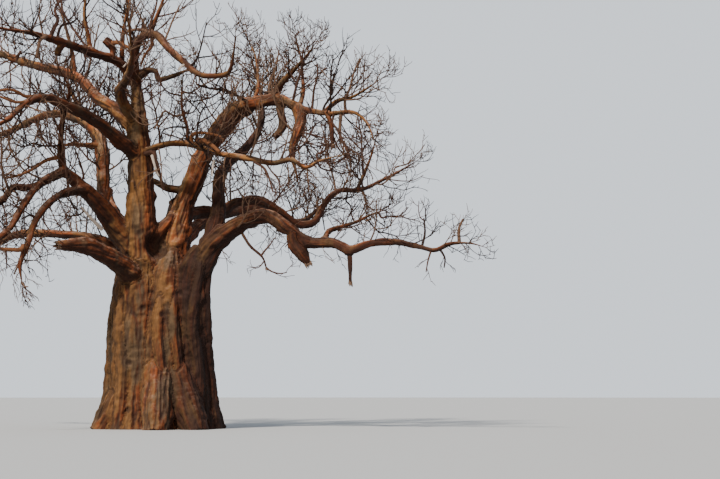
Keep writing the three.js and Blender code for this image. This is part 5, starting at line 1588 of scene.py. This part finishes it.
def carry(points, radius, limb, lift, dice, room, shade=None, bare=False):
    """Adds a side twig or a shoot through some points, and all that it carries."""
    if shade is None:
        shade = int(dice.between(0, COMMON_SHADES))
    kind = STOUT_KIND if radius >= STOUT else 0
    side = Twig(rounded(points, 2 * len(points) + 1), radius, kind, lift, shade)
    twigs[limb.name].append(side)
    if not bare:
        branch(side, 0, limb, dice, room)


def spray(root, heading, length, radius, stretches, limb, lift, dice, room):
    """A side twig or a shoot in a direction, where there is room for it."""
    points = grown(root, heading, length, stretches, lift, dice, TWIGS["kink"])
    if not all(room(point) and is_in_box(point) for point in points[1:]):
        return
    if is_clear_of_wood(rounded(points, TESTED_STRETCHES), radius):
        carry(points, radius, limb, lift, dice, room)


for mass in masses:
    seed, spread, lift = (mass.twigs[key] for key in ("seed", "spread", "lift"))
    stem_length = (1 - mass.end) * mass.path.length
    count = min(TWIGS["most_sides"], round(stem_length / TWIGS["spacing"]))
    extra = round(stem_length / BETWEEN * min(BUSHY.get(mass.name, 1), 1))

    def room(point, mass=mass):
        return is_in_room(point, mass)

    for k in range(count + extra):
        dice = Dice(seed * TWIGS["seeds"] + k)
        if k < count:
            share = (k + dice.between(*TWIGS["within"])) / count
        else:
            share = (k - count + dice.roll()) / extra
        centre, direction, thick = mass.path.ring(mix(mass.end, 1, share))
        heading = turned(direction, dice.between(*TWIGS["spread"]), seed + k * TWIGS["turn"])
        length = spread * mix(1, TWIGS["fading"], share) * dice.between(*TWIGS["uneven"])
        radius = min(length * SLIMNESS * SIDE_GIRTH[0], thick * SIDE_GIRTH[1])
        spray(centre, heading, length, radius, TWIGS["stretches"], mass, lift, dice, room)
    tip, direction, _ = mass.path.ring(1)
    dice = Dice(seed * TWIGS["seeds"] + TIP_SPRAYS["seed"])
    length = spread * TIP_SPRAYS["length"]
    for _ in range(TIP_SPRAYS["count"]):
        heading = turned(direction, dice.between(*TIP_SPRAYS["angle"]), dice.bearing())
        spray(tip, heading, length, TIP_SPRAYS["radius"], TWIGS["stretches"], mass, lift, dice,
              is_in_box)

for number, limb in enumerate(numbered):
    if not limb.twigs and limb.name != "centre_stem":
        continue
    dice = Dice(number + SHOOTS["seed"])
    at = limb.collar * limb.path.length + SHOOTS["from_collar"]
    while at < limb.end * limb.path.length:
        centre, direction, thick = limb.path.ring(at / limb.path.length)
        heading = turned(direction, dice.between(*SHOOTS["angle"]), dice.bearing())
        is_stem = thick >= SHOOTS["stem"]
        is_upper = centre.z > SHOOTS["high"] and heading.z > SHOOTS["rising"] and not is_stem
        span = SHOOTS["upper" if is_upper else "lower"]
        length = mix(*span, dice.roll() ** SHOOTS["shortness"])
        if centre.z > SHOOTS["lowest"]:
            lift = SHOOTS["lift" if heading.z > SHOOTS["downward"] else "drop"]
            root = centre + heading * thick * SHOOTS["sunk"]
            stretches = math.ceil(length / SHOOTS["stretch"])
            spray(root, heading, length, length * SLIMNESS, stretches, limb, lift, dice, is_in_box)
        step = dice.between(*SHOOTS["spacing"]) * (SHOOTS["stem_spacing"] if is_stem else 1)
        at += step / BUSHY.get(limb.name, 1)


def nearest_on(limb, place):
    """The place on a limb's middle line that is nearest to a place."""
    centres = [ring[0] for ring in limb.path.rings(0, 1, SPRIG_SEARCH)]
    return min(centres, key=lambda centre: (centre - place).length)


for number, spec in enumerate(SPRIGS):
    limb = limbs[spec["on"]]
    bends = [Vector(bend) for bend in spec["bends"]]
    points = bends if spec.get("free") else [nearest_on(limb, bends[0]), *bends]
    shade = SHADE_NAMES.index(spec["shade"]) if "shade" in spec else None
    carry(points, spec["radius"], limb, spec.get("lift", SPRIG_LIFT), Dice(number + SPRIG_SEED),
          is_in_box, shade, spec.get("bare"))

TWIG_PIECES = {
    "left_low_twigs": ["left_low_bough", "left_great_bough", "left_fork", "left_bend_bough",
                       "left_arch", "left_middle_bough"],
    "left_high_twigs": ["left_second_bough", "left_second_riser", "left_third_bough",
                        "left_upper_bough", "left_upper_riser"],
    "crown_twigs": ["centre_stem", "crown_riser", "crest_bough", "crest_riser", "front_bough",
                    "cross_bough", "cross_riser"],
    "elbow_twigs": ["second_stem", "elbow_drop", "elbow_first_riser", "elbow_second_riser",
                    "elbow_third_riser", "elbow_fourth_riser"],
    "right_twigs": ["third_stem", "right_upper_arch", "right_upper_riser", "right_low_rise",
                    "right_reach_riser"],
    "back_twigs": ["back_left_bough", "back_middle_bough", "back_right_bough",
                   "back_low_bough"],
}


def twig_material(name, colour):
    look = {"Base Color": colour, "Roughness": 0.85, "Specular IOR Level": 0.15}
    return finished(new_material(f"{name}_twig"), look)


shades = [twig_material(name, colour) for name, colour in TWIG_SHADES.items()]
twig_sweep = sweep_tree("twig_sweep", TWIG_SIDES, len(shades))
shade_inputs = dict(zip(material_labels(len(shades)), shades))
for name, carriers in TWIG_PIECES.items():
    strands = [twig.strand() for limb in carriers for twig in twigs[limb]]
    piece = strand_piece(name, strands, ["girth", "reach", "shade", "kind"])
    shaped(piece, twig_sweep, shade_inputs)
    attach(piece, "root")
    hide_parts(*[limbs[limb].mass for limb in carriers if limbs[limb].twigs])

bpy.data.objects.remove(skin)
bpy.data.objects.remove(wood)

# The stage: a pale floor, a soft sun from the upper left of the view, and an open pale sky that
# is darker overhead. None of it is part of the tree.

FLOOR_RADIUS = 260
FLOOR_SIDES = 96
FLOOR_COLOUR = (0.45, 0.44, 0.42, 1)
SUN = dict(energy=6, width=4, colour=(1, 0.95, 0.88), turned=(38, -32, 0))  # angles in degrees
HORIZON = (0.82, 0.88, 0.95, 1)
OVERHEAD = (0.3, 0.36, 0.45, 1)
SKY_LIGHT = 1.25

work = bmesh.new()
bmesh.ops.create_circle(work, cap_ends=True, radius=FLOOR_RADIUS, segments=FLOOR_SIDES)
floor_mesh = bpy.data.meshes.new("floor")
work.to_mesh(floor_mesh)
work.free()
floor = new_piece("floor", floor_mesh)
floor_look = {"Base Color": FLOOR_COLOUR, "Roughness": 0.95}
floor_mesh.materials.append(finished(new_material("pale_floor"), floor_look))

sun = new_piece("sun", bpy.data.lights.new("sun", "SUN"))
sun.data.energy = SUN["energy"]
sun.data.angle = math.radians(SUN["width"])
sun.data.color = SUN["colour"]
sun.rotation_euler = [math.radians(angle) for angle in SUN["turned"]]

world = bpy.data.worlds.new("pale_sky")
world.use_nodes = True
world.node_tree.nodes.clear()
heading = Wire(world.node_tree, "ShaderNodeTexCoord", out="Generated")
height = Wire(world.node_tree, "ShaderNodeSeparateXYZ", {"Vector": heading}, "Z")
sky = height.step(0.2, 0.6).between(HORIZON, OVERHEAD)
glow = Wire(world.node_tree, "ShaderNodeBackground", {"Color": sky, "Strength": SKY_LIGHT})
Wire(world.node_tree, "ShaderNodeOutputWorld", {"Surface": glow})
bpy.context.scene.world = world

# The camera stands where the picture was taken from: 45 m in front of the tree, a metre above its
# ground, turned a little right of it and tilted up.

CAMERA_PLACE = (0, -45, 1)
CAMERA_TILT = 5.38  # degrees
CAMERA_TURN = -7
CAMERA_LENS = 81  # millimetres
CAMERA_SENSOR = 36
CAMERA_SIGHT = 1000

camera = new_piece("camera", bpy.data.cameras.new("camera"))
camera.data.lens = CAMERA_LENS
camera.data.sensor_width = CAMERA_SENSOR
camera.data.clip_end = CAMERA_SIGHT
camera.location = CAMERA_PLACE
camera.rotation_euler = (math.radians(90 + CAMERA_TILT), 0, math.radians(CAMERA_TURN))
bpy.context.scene.camera = camera
